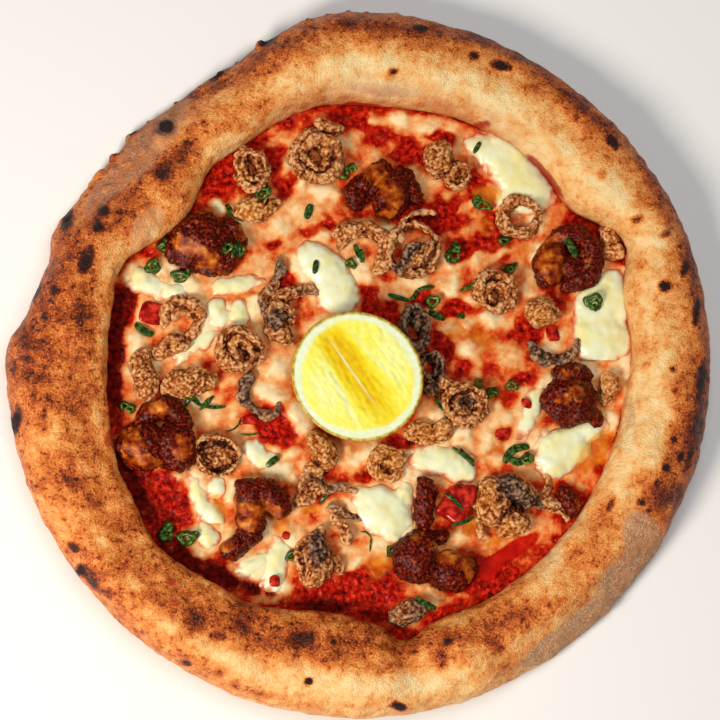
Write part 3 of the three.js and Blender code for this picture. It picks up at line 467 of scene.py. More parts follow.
def baked_dough():
    """Wheat dough blistered in a hot oven: oily where golden, matt where floured or charred."""
    material, tree, shader = new_material("baked_dough", {"IOR": 1.38})
    place = add(tree, "TexCoord", out="Object")
    fine = add(tree, "TexNoise", {
        "Vector": place, "Scale": per_mm(0.9), "Detail": 4.0, "Roughness": 0.62,
    })
    broad = add(tree, "TexNoise", {"Vector": place, "Scale": per_mm(4.0), "Detail": 4.0})
    freckle = add(tree, "TexNoise", {"Vector": place, "Scale": per_mm(2.0), "Detail": 1.0})
    # The bake level is browning, with painted shade on the rim's sides away from the key light and
    # painted highlights on the lower left rim.
    bake = add(tree, "Attribute", out="Fac", attribute_name="bake")
    reach = add(tree, "MapRange", {0: bake, 1: 0.15, 2: 0.6, 3: 0.3, 4: 0.95})
    centred = add(tree, "Math", {0: fine, 1: 0.5}, operation="SUBTRACT")
    grain = add(tree, "Math", {0: centred, 1: reach}, operation="MULTIPLY")
    cloud = add(tree, "MapRange", {0: broad, 1: 0.3, 2: 0.7, 3: -0.1, 4: 0.1})
    spot = add(tree, "MapRange", {0: freckle, 1: 0.6, 2: 0.7, 3: 0.0, 4: 0.22})
    spotted = add(tree, "Math", {0: spot, 1: reach}, operation="MULTIPLY")
    browned = add(tree, "Math", {0: add(tree, "Math", {0: bake, 1: grain}), 1: cloud})
    patches = add(tree, "TexNoise", {
        "Vector": place, "Scale": per_mm(13.0), "Detail": 3.0, "Roughness": 0.6,
    })
    hot = add(
        tree, "MapRange", {0: patches, 1: 0.5, 2: 0.68, 3: 0.0, 4: 0.6},
        interpolation_type="SMOOTHSTEP",
    )
    under = add(tree, "Attribute", out="Fac", attribute_name="under")
    oven_spots = add(tree, "Math", {0: hot, 1: under}, operation="MULTIPLY")
    level = add(tree, "Math", {0: add(tree, "Math", {0: browned, 1: spotted}), 1: oven_spots})
    baked = add(tree, "ValToRGB", {0: level}, stops=[
        (0.0, "F9DCA2"), (0.2, "F6BC74"), (0.35, "E9954A"), (0.5, "D06D28"), (0.62, "A84A18"),
        (0.75, "762A0E"), (0.87, "42160A"), (1.0, "200D0A"),
    ])
    powder = add(tree, "ValToRGB", {0: fine}, stops=[
        (0.3, "8A5A3E"), (0.5, "C8946E"), (0.7, "F0CCA4"),
    ])
    flour = add(tree, "Attribute", out="Fac", attribute_name="flour")
    worn = add(tree, "Math", {0: flour, 1: add(tree, "Math", {0: cloud, 1: centred})})
    floured = add(tree, "MapRange", {0: worn, 1: 0.15, 2: 1.0})
    dusted = add(tree, "Mix", {0: floured, 6: baked, 7: powder}, out=2, data_type="RGBA")
    stain = add(tree, "Attribute", out="Fac", attribute_name="stain")
    stained = add(tree, "Mix", {0: stain, 6: dusted, 7: colour("B23A1C")}, out=2, data_type="RGBA")
    char = add(tree, "Attribute", out="Fac", attribute_name="char")
    soot = add(tree, "ValToRGB", {0: fine}, stops=[(0.35, "100808"), (0.7, "40221C")])
    torn = add(tree, "Math", {0: char, 1: grain})
    sooty = add(tree, "MapRange", {0: torn, 1: 0.4, 2: 0.75}, interpolation_type="SMOOTHSTEP")
    charred = add(tree, "Mix", {0: sooty, 6: stained, 7: soot}, out=2, data_type="RGBA")
    tree.links.new(charred, shader.inputs["Base Color"])
    matt = add(tree, "Math", {0: floured, 1: sooty}, operation="MAXIMUM")
    tree.links.new(add(tree, "MapRange", {0: matt, 3: 0.42, 4: 0.85}), shader.inputs["Roughness"])
    relief = add(tree, "Math", {0: fine, 1: broad})
    raised = add(tree, "Bump", {"Strength": 0.8, "Distance": 0.0013, "Height": relief})
    tree.links.new(raised, shader.inputs["Normal"])
    return material


def sauce_and_film():
    """Cooked tomato pulp, wet and grainy, under an uneven film of melted cheese and orange oil."""
    material, tree, shader = new_material("tomato_sauce_under_cheese_film", {
        "Roughness": 0.13, "IOR": 1.33, "Specular IOR Level": 0.3,
    })
    place = add(tree, "TexCoord", out="Object")
    pulp = add(tree, "TexNoise", {
        "Vector": place, "Scale": per_mm(2.2), "Detail": 4.0, "Roughness": 0.55,
    })
    cloud = add(tree, "TexNoise", {"Vector": place, "Scale": per_mm(6.0), "Detail": 4.0})
    grainy = add(tree, "ValToRGB", {0: pulp}, stops=[
        (0.3, "320200"), (0.42, "740500"), (0.54, "AC1004"), (0.64, "C62A0E"), (0.76, "DC5E2E"),
    ])
    pool = add(tree, "Attribute", out="Fac", attribute_name="pool")
    smooth = add(tree, "ValToRGB", {0: cloud}, stops=[(0.35, "8E0602"), (0.65, "C41808")])
    red = add(tree, "Mix", {0: pool, 6: grainy, 7: smooth}, out=2, data_type="RGBA")
    # The deep attribute is painted shade along the rim, and darker sauce among the toppings.
    deep = add(tree, "Attribute", out="Fac", attribute_name="deep")
    dark = add(tree, "ValToRGB", {0: pulp}, stops=[(0.35, "240200"), (0.65, "7C0902")])
    shaded = add(tree, "Mix", {0: deep, 6: red, 7: dark}, out=2, data_type="RGBA")
    film = add(tree, "Attribute", out="Fac", attribute_name="film")
    ragged = add(tree, "MapRange", {0: pulp, 1: 0.3, 2: 0.7, 3: 0.1, 4: -0.1})
    blotch = add(tree, "MapRange", {0: cloud, 1: 0.3, 2: 0.7, 3: -0.18, 4: 0.18})
    thickness = add(tree, "Math", {0: add(tree, "Math", {0: film, 1: ragged}), 1: blotch})
    film_tone = add(tree, "ValToRGB", {0: thickness}, stops=[
        (0.1, "A82006"), (0.25, "C64214"), (0.4, "D87036"), (0.56, "E0985A"), (0.74, "E8B87E"),
        (0.95, "EED6A8"),
    ])
    covered = add(
        tree, "MapRange", {0: thickness, 1: 0.06, 2: 0.34}, interpolation_type="SMOOTHSTEP",
    )
    both = add(tree, "Mix", {0: covered, 6: shaded, 7: film_tone}, out=2, data_type="RGBA")
    oil = add(tree, "Attribute", out="Fac", attribute_name="oil")
    oil_tone = add(tree, "ValToRGB", {0: cloud}, stops=[
        (0.3, "B0400A"), (0.5, "CE6A14"), (0.7, "E2942E"),
    ])
    oily = add(tree, "Mix", {0: oil, 6: both, 7: oil_tone}, out=2, data_type="RGBA")
    tree.links.new(oily, shader.inputs["Base Color"])
    calm = add(tree, "Math", {0: covered, 1: pool}, operation="MAXIMUM")
    rough = add(tree, "MapRange", {0: calm, 3: 0.8, 4: 0.25})
    raised = add(tree, "Bump", {"Strength": rough, "Distance": 0.0012, "Height": pulp})
    tree.links.new(raised, shader.inputs["Normal"])
    return material


def melted_mozzarella():
    """Fresh mozzarella, melted and set again: smooth, milky and a little oily, thin at the edge."""
    material, tree, shader = new_material("melted_mozzarella", {
        "Roughness": 0.24, "IOR": 1.44, "Subsurface Weight": 0.25, "Subsurface Scale": 0.003,
        "Subsurface Radius": (1.0, 0.8, 0.5),
    })
    place = add(tree, "TexCoord", out="Object")
    cloud = add(tree, "TexNoise", {"Vector": place, "Scale": per_mm(8.0), "Detail": 3.0})
    milk = add(tree, "ValToRGB", {0: cloud}, stops=[
        (0.35, "E4E8C8"), (0.5, "E5E5BA"), (0.66, "E5DE9E"),
    ])
    ragged = add(tree, "TexNoise", {"Vector": place, "Scale": per_mm(2.6), "Detail": 3.0})
    thin = add(tree, "Attribute", out="Fac", attribute_name="thin")
    worn = add(tree, "MapRange", {0: ragged, 1: 0.3, 2: 0.7, 3: -0.25, 4: 0.25})
    level = add(tree, "Math", {0: thin, 1: worn})
    tone = add(tree, "ValToRGB", {0: level}, stops=[
        (0.2, "ECDCB0"), (0.45, "E8C094"), (0.7, "DE966A"), (1.0, "C8603C"),
    ])
    edge = add(tree, "MapRange", {0: level, 1: 0.1, 2: 0.45}, interpolation_type="SMOOTHSTEP")
    cheese = add(tree, "Mix", {0: edge, 6: milk, 7: tone}, out=2, data_type="RGBA")
    oil = add(tree, "Attribute", out="Fac", attribute_name="oil")
    oiled = add(tree, "Mix", {0: oil, 6: cheese, 7: colour("E6B450")}, out=2, data_type="RGBA")
    tree.links.new(oiled, shader.inputs["Base Color"])
    raised = add(tree, "Bump", {"Strength": 0.2, "Distance": 0.0006, "Height": ragged})
    tree.links.new(raised, shader.inputs["Normal"])
    return material


def glazed_prawn():
    """Prawn meat fried in a sugary glaze: amber where it is smooth, dark and crusted elsewhere."""
    material, tree, shader = new_material("glazed_prawn", {
        "Roughness": 0.22, "IOR": 1.42, "Specular IOR Level": 0.3,
    })
    place = add(tree, "TexCoord", out="Object")
    fine = add(tree, "TexNoise", {
        "Vector": place, "Scale": per_mm(1.3), "Detail": 4.0, "Roughness": 0.65,
    })
    broad = add(tree, "TexNoise", {"Vector": place, "Scale": per_mm(4.0), "Detail": 4.0})
    amber = add(tree, "ValToRGB", {0: broad}, stops=[
        (0.32, "500F04"), (0.46, "8C3209"), (0.58, "B45A14"), (0.7, "D48A38"),
    ])
    crust = add(tree, "ValToRGB", {0: fine}, stops=[
        (0.32, "140202"), (0.46, "3E0803"), (0.57, "701606"), (0.67, "9C380E"), (0.78, "CC7434"),
    ])
    crusted = add(tree, "Attribute", out="Fac", attribute_name="crusted")
    worn = add(tree, "MapRange", {0: fine, 1: 0.3, 2: 0.7, 3: 0.35, 4: -0.35})
    level = add(tree, "Math", {0: crusted, 1: worn})
    share = add(tree, "MapRange", {0: level, 1: 0.1, 2: 0.8}, interpolation_type="SMOOTHSTEP")
    both = add(tree, "Mix", {0: share, 6: amber, 7: crust}, out=2, data_type="RGBA")
    tree.links.new(both, shader.inputs["Base Color"])
    rough = add(tree, "MapRange", {0: crusted, 3: 0.5, 4: 0.55})
    raised = add(tree, "Bump", {"Strength": rough, "Distance": 0.0008, "Height": fine})
    tree.links.new(raised, shader.inputs["Normal"])
    return material


def fried_batter():
    """Squid fried in a thin batter: matt and crumbly, with painted light on its raised crumbs and
    painted shade in its pits and hollows.
    """
    material, tree, shader = new_material("fried_batter", {
        "Roughness": 0.6, "IOR": 1.4, "Specular IOR Level": 0.35,
    })
    place = add(tree, "TexCoord", out="Object")
    fine = add(tree, "TexNoise", {
        "Vector": place, "Scale": per_mm(0.9), "Detail": 4.0, "Roughness": 0.7,
    })
    speck = add(tree, "TexNoise", {"Vector": place, "Scale": per_mm(1.7), "Detail": 2.0})
    sway = add(tree, "TexNoise", {"Vector": place, "Scale": per_mm(1.2)}, out="Color")
    swayed = add(
        tree, "VectorMath", {0: sway, 1: (0.0012, 0.0012, 0.0012), 2: place},
        operation="MULTIPLY_ADD",
    )
    crumb = add(tree, "TexVoronoi", {"Vector": swayed, "Scale": per_mm(1.7)})
    # The ridge attribute holds painted shade, darker in the hollows and pits, and painted light,
    # paler on the raised crumbs.
    height = add(tree, "Attribute", out="Fac", attribute_name="ridge")
    grain = add(tree, "MapRange", {0: fine, 1: 0.3, 2: 0.7, 3: -0.22, 4: 0.22})
    crack = add(tree, "MapRange", {0: crumb, 1: 0.25, 2: 0.75, 3: 0.1, 4: -0.24})
    burnt = add(tree, "MapRange", {0: speck, 1: 0.58, 2: 0.68, 3: 0.0, 4: -0.3})
    crumbly = add(tree, "Math", {0: grain, 1: crack})
    level = add(tree, "Math", {0: add(tree, "Math", {0: height, 1: crumbly}), 1: burnt})
    dark = add(tree, "ValToRGB", {0: level}, stops=[
        (0.0, "100503"), (0.3, "301810"), (0.55, "5C3E2E"), (0.95, "A88468"),
    ])
    tan = add(tree, "ValToRGB", {0: level}, stops=[
        (0.0, "1E0803"), (0.25, "62260C"), (0.46, "A25626"), (0.68, "C67E42"), (0.95, "ECB680"),
    ])
    golden = add(tree, "ValToRGB", {0: level}, stops=[
        (0.0, "421804"), (0.25, "8E440E"), (0.46, "BC6E26"), (0.68, "D28E48"), (0.95, "ECBC82"),
    ])
    tone = add(tree, "Attribute", out="Fac", attribute_name="tone")
    lower = add(tree, "MapRange", {0: tone, 1: 0.1, 2: 0.45})
    upper = add(tree, "MapRange", {0: tone, 1: 0.55, 2: 0.95})
    low = add(tree, "Mix", {0: lower, 6: dark, 7: tan}, out=2, data_type="RGBA")
    high = add(tree, "Mix", {0: upper, 6: low, 7: golden}, out=2, data_type="RGBA")
    tree.links.new(high, shader.inputs["Base Color"])
    relief = add(tree, "Math", {0: fine, 1: crack})
    raised = add(tree, "Bump", {"Strength": 0.8, "Distance": 0.0009, "Height": relief})
    tree.links.new(raised, shader.inputs["Normal"])
    return material


def cut_lemon():
    """A ripe lemon cut across: waxy peel, white pith and wet, translucent juice sacs."""
    material, tree, shader = new_material("cut_lemon", {
        "Roughness": 0.22, "IOR": 1.38, "Subsurface Weight": 0.1, "Subsurface Scale": 0.003,
    })
    place = add(tree, "TexCoord", out="Object")
    sacs = add(tree, "TexNoise", {"Vector": place, "Scale": per_mm(2.2), "Detail": 3.0})
    sac = add(tree, "Attribute", out="Fac", attribute_name="sac")
    tint = add(tree, "MapRange", {0: sacs, 1: 0.3, 2: 0.7, 3: -0.09, 4: 0.09})
    level = add(tree, "Math", {0: sac, 1: tint})
    flesh = add(tree, "ValToRGB", {0: level}, stops=[
        (0.0, "F2F4AA"), (0.3, "F0EC60"), (0.55, "ECDC34"), (0.8, "E6C60E"), (1.0, "DAAC02"),
    ])
    pith = add(tree, "Attribute", out="Fac", attribute_name="pith")
    white = add(tree, "ValToRGB", {0: sacs}, stops=[(0.35, "DDEABC"), (0.65, "E9F1D6")])
    rind = add(tree, "Mix", {0: pith, 6: flesh, 7: white}, out=2, data_type="RGBA")
    peel = add(tree, "Attribute", out="Fac", attribute_name="peel")
    peel_tone = add(tree, "ValToRGB", {0: sacs}, stops=[(0.4, "9A7A1E"), (0.58, "D2B440")])
    whole = add(tree, "Mix", {0: peel, 6: rind, 7: peel_tone}, out=2, data_type="RGBA")
    tree.links.new(whole, shader.inputs["Base Color"])
    raised = add(tree, "Bump", {"Strength": 0.3, "Distance": 0.0006, "Height": sacs})
    tree.links.new(raised, shader.inputs["Normal"])
    return material


def spring_onion():
    """Raw spring onion, chopped: waxy and dark green outside, paler on its inner face."""
    material, tree, shader = new_material("spring_onion", {"Roughness": 0.25, "IOR": 1.42})
    place = add(tree, "TexCoord", out="Object")
    veins = add(tree, "TexNoise", {"Vector": place, "Scale": per_mm(1.4), "Detail": 3.0})
    inner = add(tree, "Attribute", out="Fac", attribute_name="inner")
    outside = add(tree, "ValToRGB", {0: veins}, stops=[
        (0.35, "0A1A06"), (0.5, "1E3A10"), (0.68, "44641E"),
    ])
    inside = add(tree, "ValToRGB", {0: veins}, stops=[
        (0.35, "24420C"), (0.5, "50761E"), (0.7, "A2B456"),
    ])
    leaf = add(tree, "Mix", {0: inner, 6: outside, 7: inside}, out=2, data_type="RGBA")
    tree.links.new(leaf, shader.inputs["Base Color"])
    return material


def cooked_tomato():
    """Pieces of tomato, their skin glossy and their flesh darkened in the oven."""
    material, tree, shader = new_material("cooked_tomato", {
        "Roughness": 0.2, "IOR": 1.4, "Subsurface Weight": 0.1, "Subsurface Scale": 0.002,
    })
    place = add(tree, "TexCoord", out="Object")
    flesh = add(tree, "TexNoise", {"Vector": place, "Scale": per_mm(3.0), "Detail": 2.0})
    red = add(tree, "ValToRGB", {0: flesh}, stops=[
        (0.35, "6C0503"), (0.5, "A21208"), (0.68, "CC3620"),
    ])
    tree.links.new(red, shader.inputs["Base Color"])
    return material


# ---------------------------------------------------------------- crust

CRUST_STEPS = 900  # round the pizza
RIM_STEPS = 84  # over the rim
BASE_RINGS = 9  # on the flat underside
BASE_EDGE = 1.8  # where the underside ends, on the section's scale
RIM_START = -62  # where the rim leaves it, in degrees from the rim's outermost place

# The rim's skin, in shares from 0 to 1 in place of millimetres: where it is rough, how far it is
# baked over its pale parts on its inner slope, crest, outer slope and edge, how burnt that edge
# is, and how thick flour and sauce lie. The inner slope darker towards the lower left, and the
# outer slope and edge darker towards the far right, are partly browning and partly painted shade
# on the sides that face away from the key light.
ROUGH_EDGE = [(122, 32, 0.88, 4)]
PALEST = 0.2
SLOPE_BAKE_AND_SHADE = [(205, 75, 0.26, 4), (285, 22, 0.24, 2), (12, 20, 0.08, 2)]
CREST_BAKE = [(168, 62, 0.32, 4), (272, 50, 0.25, 4), (318, 20, -0.06, 2), (35, 38, -0.06, 2)]
OUTER_BAKE_AND_SHADE = [
    (60, 95, 0.2, 4), (165, 30, 0.32, 4), (212, 32, 0.18, 2), (245, 40, 0.1, 4), (318, 22, 0.16, 2),
    (345, 14, 0.18, 2), (45, 18, -0.06, 2),
]
EDGE_BAKE_AND_SHADE = [
    (55, 75, 0.28, 4), (150, 40, 0.3, 4), (210, 30, 0.22, 2), (250, 30, 0.08, 4),
    (320, 26, 0.22, 2), (348, 16, 0.24, 2),
]
BURNT_EDGE = [(115, 42, 0.8, 4), (-22, 12, 0.2, 4), (213, 25, 0.3, 4)]
THICK_FLOUR = [(-48, 26, 0.4, 4)]
WET_FOOT = [(85, 32, 1, 4)]


def crust_section():
    """Points of the crust's section: 0 at the axis, 1 at the rim's foot and 2 at its outer edge,
    with heights on a rim of the mean height."""
    points = [(share, 0.0) for share in np.linspace(0, BASE_EDGE, BASE_RINGS)]
    for turn in np.linspace(RIM_START, 180, RIM_STEPS):
        across, up = math.cos(math.radians(turn)), math.sin(math.radians(turn))
        blunt = 0.5 + 0.35 * min(max((turn + 20) / 20, 0), 1)  # squarer low down than on top
        half = 0.5 * math.copysign(abs(across) ** blunt, across)
        reach = RIM_WAIST if up < 0 else RIM_HEIGHT - RIM_WAIST
        points.append((1.5 + half, RIM_WAIST + reach * up))
    points += [(1.0, 8.0), (1.0, 6.0), (1.0, BASE_THICKNESS), (0.0, BASE_THICKNESS)]
    return np.array(points)


def shape_crust(code, height, turn):
    """Places the section's points round the pizza, with the rim's uneven edge, crest and lean."""
    angle = np.degrees(turn)
    lean_in = unevenness(OVERHANG, angle)
    foot = FOOT_RADIUS + unevenness(FOOT, angle) + lean_in
    outer = OUTER_RADIUS + unevenness(OUTLINE, angle)
    across = code - 1
    rise = np.clip((height - BASE_THICKNESS) / (RIM_HEIGHT - BASE_THICKNESS), 0, 1)
    radius = np.where(code <= 1, code * foot, foot + across * (outer - foot))
    on_rim = (across >= -1e-6) & (height > BASE_THICKNESS)
    waist = (RIM_WAIST - BASE_THICKNESS) / (RIM_HEIGHT - BASE_THICKNESS)
    inner = np.clip(1 - 2 * across, 0, 1)
    lean = inner * np.sin(math.pi * np.clip((rise - waist) / (1 - waist), 0, 1))
    radius = np.where(on_rim, radius - 1.35 * lean_in * lean, radius)
    tall = BASE_THICKNESS + rise * (RIM_HEIGHT + unevenness(CREST, angle) - BASE_THICKNESS)
    outer_slope = np.clip((across - 0.55) / 0.45, 0, 1)
    tall *= 1 - unevenness(SLOPE, angle) * outer_slope
    x, y = radius * np.cos(turn), radius * np.sin(turn)
    broad = np.sin(0.11 * x + 1.3) * np.cos(0.13 * y - 0.4)
    fine = np.sin(0.31 * x - 0.17 * y) * np.sin(0.27 * y + 0.9)
    tall += (0.8 * broad + 0.5 * fine) * rise * rise
    return np.column_stack([x, y, np.where(on_rim, tall, height)])


def bent_grid():
    """The crust's closed shell, bent from a flat grid that goes round the pizza and along its
    section, and how far each vertex lies across the rim: 0 at its foot and 1 at its edge."""
    section = crust_section()
    rows = len(section) - 1
    bm = bmesh.new()
    bmesh.ops.create_grid(bm, x_segments=CRUST_STEPS, y_segments=rows, size=0.5)
    mesh = mesh_of(bm, "baked_crust")
    grid = points_of(mesh)
    row = np.rint((grid[:, 1] + 0.5) * rows).astype(int)
    turn = (grid[:, 0] * 2) * math.pi
    code, height = section[row, 0], section[row, 1]
    move_points(mesh, shape_crust(code, height, turn))
    bm = bmesh.new()
    bm.from_mesh(mesh)
    parts = bm.verts.layers.float.new("across")
    for v, share in zip(bm.verts, code):
        v[parts] = share - 1
    bmesh.ops.remove_doubles(bm, verts=bm.verts[:], dist=TOUCHING)
    bmesh.ops.recalc_face_normals(bm, faces=bm.faces[:])
    bm.to_mesh(mesh)
    bm.free()
    across = np.empty(len(mesh.vertices))
    mesh.attributes["across"].data.foreach_get("value", across)
    return mesh, across


def make_crust(material):
    """The dough: a thin base and a rim with a swollen skin, wrinkled on its inner slope and rough
    along part of its edge."""
    mesh, across = bent_grid()
    points = points_of(mesh)
    bare = np.clip((across + 0.02) * 30, 0, 1) * np.clip(points[:, 2] / 3, 0, 1)
    swell = 0.8 * perlin(points, 16, 3.1) + 0.55 * perlin(points, 6.5, 7.7)
    grain = 0.3 * perlin(points, 2.8, 1.9)
    radius = np.hypot(points[:, 0], points[:, 1])
    around = np.arctan2(points[:, 1], points[:, 0])
    fibres = np.column_stack([radius / 2.2, 9 * np.cos(around), 9 * np.sin(around)])
    wrinkles = 0.6 * step(0.5, 0.1, across) * perlin(fibres, 1, 4.4)
    rough = 0.12 + unevenness(ROUGH_EDGE, np.degrees(around))
    nubs = 2.0 * rough * step(0.2, 0.6, perlin(points, 5, 12.1)) * step(0.6, 0.9, across)
    points = points + normals_of(mesh) * ((swell + grain + wrinkles + nubs) * bare)[:, None]
    move_points(mesh, points)
    angle = np.degrees(np.arctan2(points[:, 1], points[:, 0]))
    places = (points, across, angle, *as_seen(points))
    under = step(2.5, 0.5, points[:, 2])
    store(
        mesh,
        bake=bake_level(*places) * (1 - under) + 0.2 * under,
        flour=flour_level(*places) * (1 - under) + 0.3 * under,
        char=char_level(*places) * (1 - under),
        stain=stain_level(*places) * (1 - under),
        under=under,
    )
    return put(mesh, material, "crust", "crust")


def bake_level(points, across, angle, x, y):
    """How dark the dough is: 0 is pale, and 1 is burnt. Mostly browning, with painted shade on the
    rim's sides that face away from the key light and painted highlights on the lower left rim.
    """
    across = across + 0.07 * perlin(points, 11, 3.3) + 0.04 * perlin(points, 4, 5.1)
    slope, crest, outer, edge = (
        PALEST + unevenness(entries, angle)
        for entries in (SLOPE_BAKE_AND_SHADE, CREST_BAKE, OUTER_BAKE_AND_SHADE, EDGE_BAKE_AND_SHADE)
    )
    level = slope + (crest - slope) * step(0.1, 0.3, across)
    level += (outer - crest) * step(0.4, 0.64, across) + (edge - outer) * step(0.7, 0.88, across)
    level += (
        0.09 * perlin(points, 15, 2.2) + 0.13 * perlin(points, 6, 9.4)
        + 0.07 * perlin(points, 2.8, 4.0)
    )
    # The marks darken and lighten the dough; the narrow lighter streaks on the lower left rim are
    # painted highlights.
    level += 0.7 * marks(BAKED, x, y) - 0.7 * marks(PALE_AND_HIGHLIGHTS, x, y)
    level += 0.4 * step(0.05, 0.5, marks(CHARRED, x, y))
    blisters = step(0.35, 0.6, perlin(points, 3.4, 4.0))
    return level + 0.12 * blisters * step(0.3, 0.5, level)


def char_level(points, across, angle, x, y):
    """How black the dough is."""
    edge = step(0.86, 1.0, across) * step(0.0, 0.5, perlin(points, 5, 12.1))
    marked = marks(CHARRED, x, y) * (0.85 + 0.35 * perlin(points, 2.2, 3.0))
    return marked + edge * unevenness(BURNT_EDGE, angle)


def flour_level(points, across, angle, x, y):
    """How thick flour lies: on the marks, and low on the outside."""
    thick = 0.55 + unevenness(THICK_FLOUR, angle)
    low = step(10, 4, points[:, 2]) * step(0.6, 0.8, across)
    marked = step(0.42, 0.56, marks(FLOURED, x, y) + 0.12 * perlin(points, 5, 6.6))
    return 0.8 * low + thick * marked * (0.9 + 0.3 * perlin(points, 7, 1.6))


def stain_level(points, across, angle, x, y):
    """How red the dough is with sauce: on the marks, and along the rim's foot."""
    wetter = unevenness(WET_FOOT, angle)
    height = points[:, 2] - 3 * wetter
    inwards = across - 0.05 * wetter + 0.05 * perlin(points, 6, 2.0)
    foot = step(0.16, 0.0, inwards) * step(15, 6.5, height)
    patchy = step(-0.5, 0.3, perlin(points, 5, 8.1))
    marked = step(0.35, 0.65, marks(STAINED, x, y) + 0.2 * perlin(points, 2.2, 2.0))
    blush = wetter * step(0.3, 0.04, across) * (0.7 + 0.6 * perlin(points, 5, 1.3))
    return np.maximum(0.7 * foot * patchy, 0.55 * blush) + 0.85 * marked


# ---------------------------------------------------------------- sauce and mozzarella


def patch(middle, half, cell, inside, floor):
    """A closed slab over the cells of a square grid where `inside` holds. Its top lies at 0, and
    its underside at `floor`."""
    bm = bmesh.new()
    cells = round(2 * half / cell)
    place = Matrix.Translation((*middle, 0))
    bmesh.ops.create_grid(bm, x_segments=cells, y_segments=cells, size=half, matrix=place)
    flat = np.array([v.co.xy for v in bm.verts])
    outside = [v for v, kept in zip(bm.verts, inside(flat[:, 0], flat[:, 1])) if not kept]
    bmesh.ops.delete(bm, geom=outside, context="VERTS")
    loose = [v for v in bm.verts if not v.link_faces]
    bmesh.ops.delete(bm, geom=loose, context="VERTS")
    wall = bmesh.ops.extrude_edge_only(bm, edges=[e for e in bm.edges if e.is_boundary])["geom"]
    for v in wall:
        if isinstance(v, bmesh.types.BMVert):
            v.co.z = floor
    bmesh.ops.holes_fill(bm, edges=[e for e in bm.edges if e.is_boundary])
    bmesh.ops.recalc_face_normals(bm, faces=bm.faces[:])
    return bm


def make_sauce(material):
    """The bed of sauce, puffed up into small pillows under the film and flat in its pools."""
    def foot_at(x, y):
        angle = np.degrees(np.arctan2(y, x))
        return FOOT_RADIUS + unevenness(FOOT, angle) + unevenness(OVERHANG, angle)

    def inside(x, y):
        return np.hypot(x, y) < foot_at(x, y) + 0.6

    floor = BASE_THICKNESS + 0.3 - SAUCE_TOP
    bed = patch((0, 0), FOOT_RADIUS + 12, SAUCE_CELL, inside, floor)
    mesh = mesh_of(bed, "tomato_sauce_bed")
    points = points_of(mesh)
    top = points[:, 2] > floor / 2
    points[:, 2] += SAUCE_TOP
    x, y = points[:, 0], points[:, 1]
    wander_x = x + 2.2 * perlin(points, 6, 1.0)
    wander_y = y + 2.2 * perlin(points, 6, 5.0)
    pools = step(0.35, 0.7, marks(RED_POOLS, x, y))
    # Painted shade along the rim, and darker sauce: it thins the film and darkens the red.
    deep = marks(RIM_SHADE_AND_DARK_SAUCE, x, y)
    inwards = step(0, 12, foot_at(x, y) - np.hypot(x, y))
    field = 0.18 + 0.3 * inwards + 0.7 * marks(FILM, wander_x, wander_y) - 0.9 * pools - 0.7 * deep
    field -= 0.75 * marks(RED, wander_x, wander_y)
    nearest = np.max([depth_in(lobes, x, y) for _, lobes in MOZZARELLA], axis=0)
    field += 0.35 * step(-6, 0, nearest) * (1 - pools)
    field += (
        0.26 * perlin(points, 9, 2.5) + 0.17 * perlin(points, 3.8, 4.5)
        + 0.1 * perlin(points, 1.6, 6.5)
    )
    wandered = np.column_stack([wander_x, wander_y, 0 * x])
    pillow = step(0.0, 0.45, borders(wandered, 14, 2.0))
    film = step(-0.05, 1.0, field) * (0.56 + 0.44 * pillow)
    lift = film * (0.8 + 1.1 * pillow) + 0.4 * perlin(points, 8, 4.0)
    lift = lift + 0.35 * perlin(points, 3.4, 6.0) + (0.4 - 0.35 * film) * perlin(points, 1.6, 8.0)
    lift = (1 - 0.8 * pools) * lift + 0.3 * pools
    points[:, 2] += np.where(top, lift, 0)
    move_points(mesh, points)
    oil = marks(OILY, wander_x, wander_y) + 0.25 * perlin(points, 2.5, 7.5)
    store(
        mesh,
        film=film,
        oil=0.9 * step(0.3, 0.8, oil),
        pool=pools,
        # deep is painted shade along the rim, and darker sauce among the toppings
        deep=step(0.2, 0.8, deep + 0.3 * perlin(points, 8, 3.0)) * (1 - pools),
    )
    return put(mesh, material, "tomato_sauce", "tomato_sauce")


CHEESE_EDGE = 2.8  # how far the thin edge goes past the lobes
CHEESE_CURVE = 2.7  # how far in from that edge the cheese curves up
CHEESE_FLOOR = -1.6  # the underside, from the sauce's top
SQUARISH = 2.6  # the lobes' outline: 2 is an ellipse, and more is squarer
FAR_OUT = -50.0

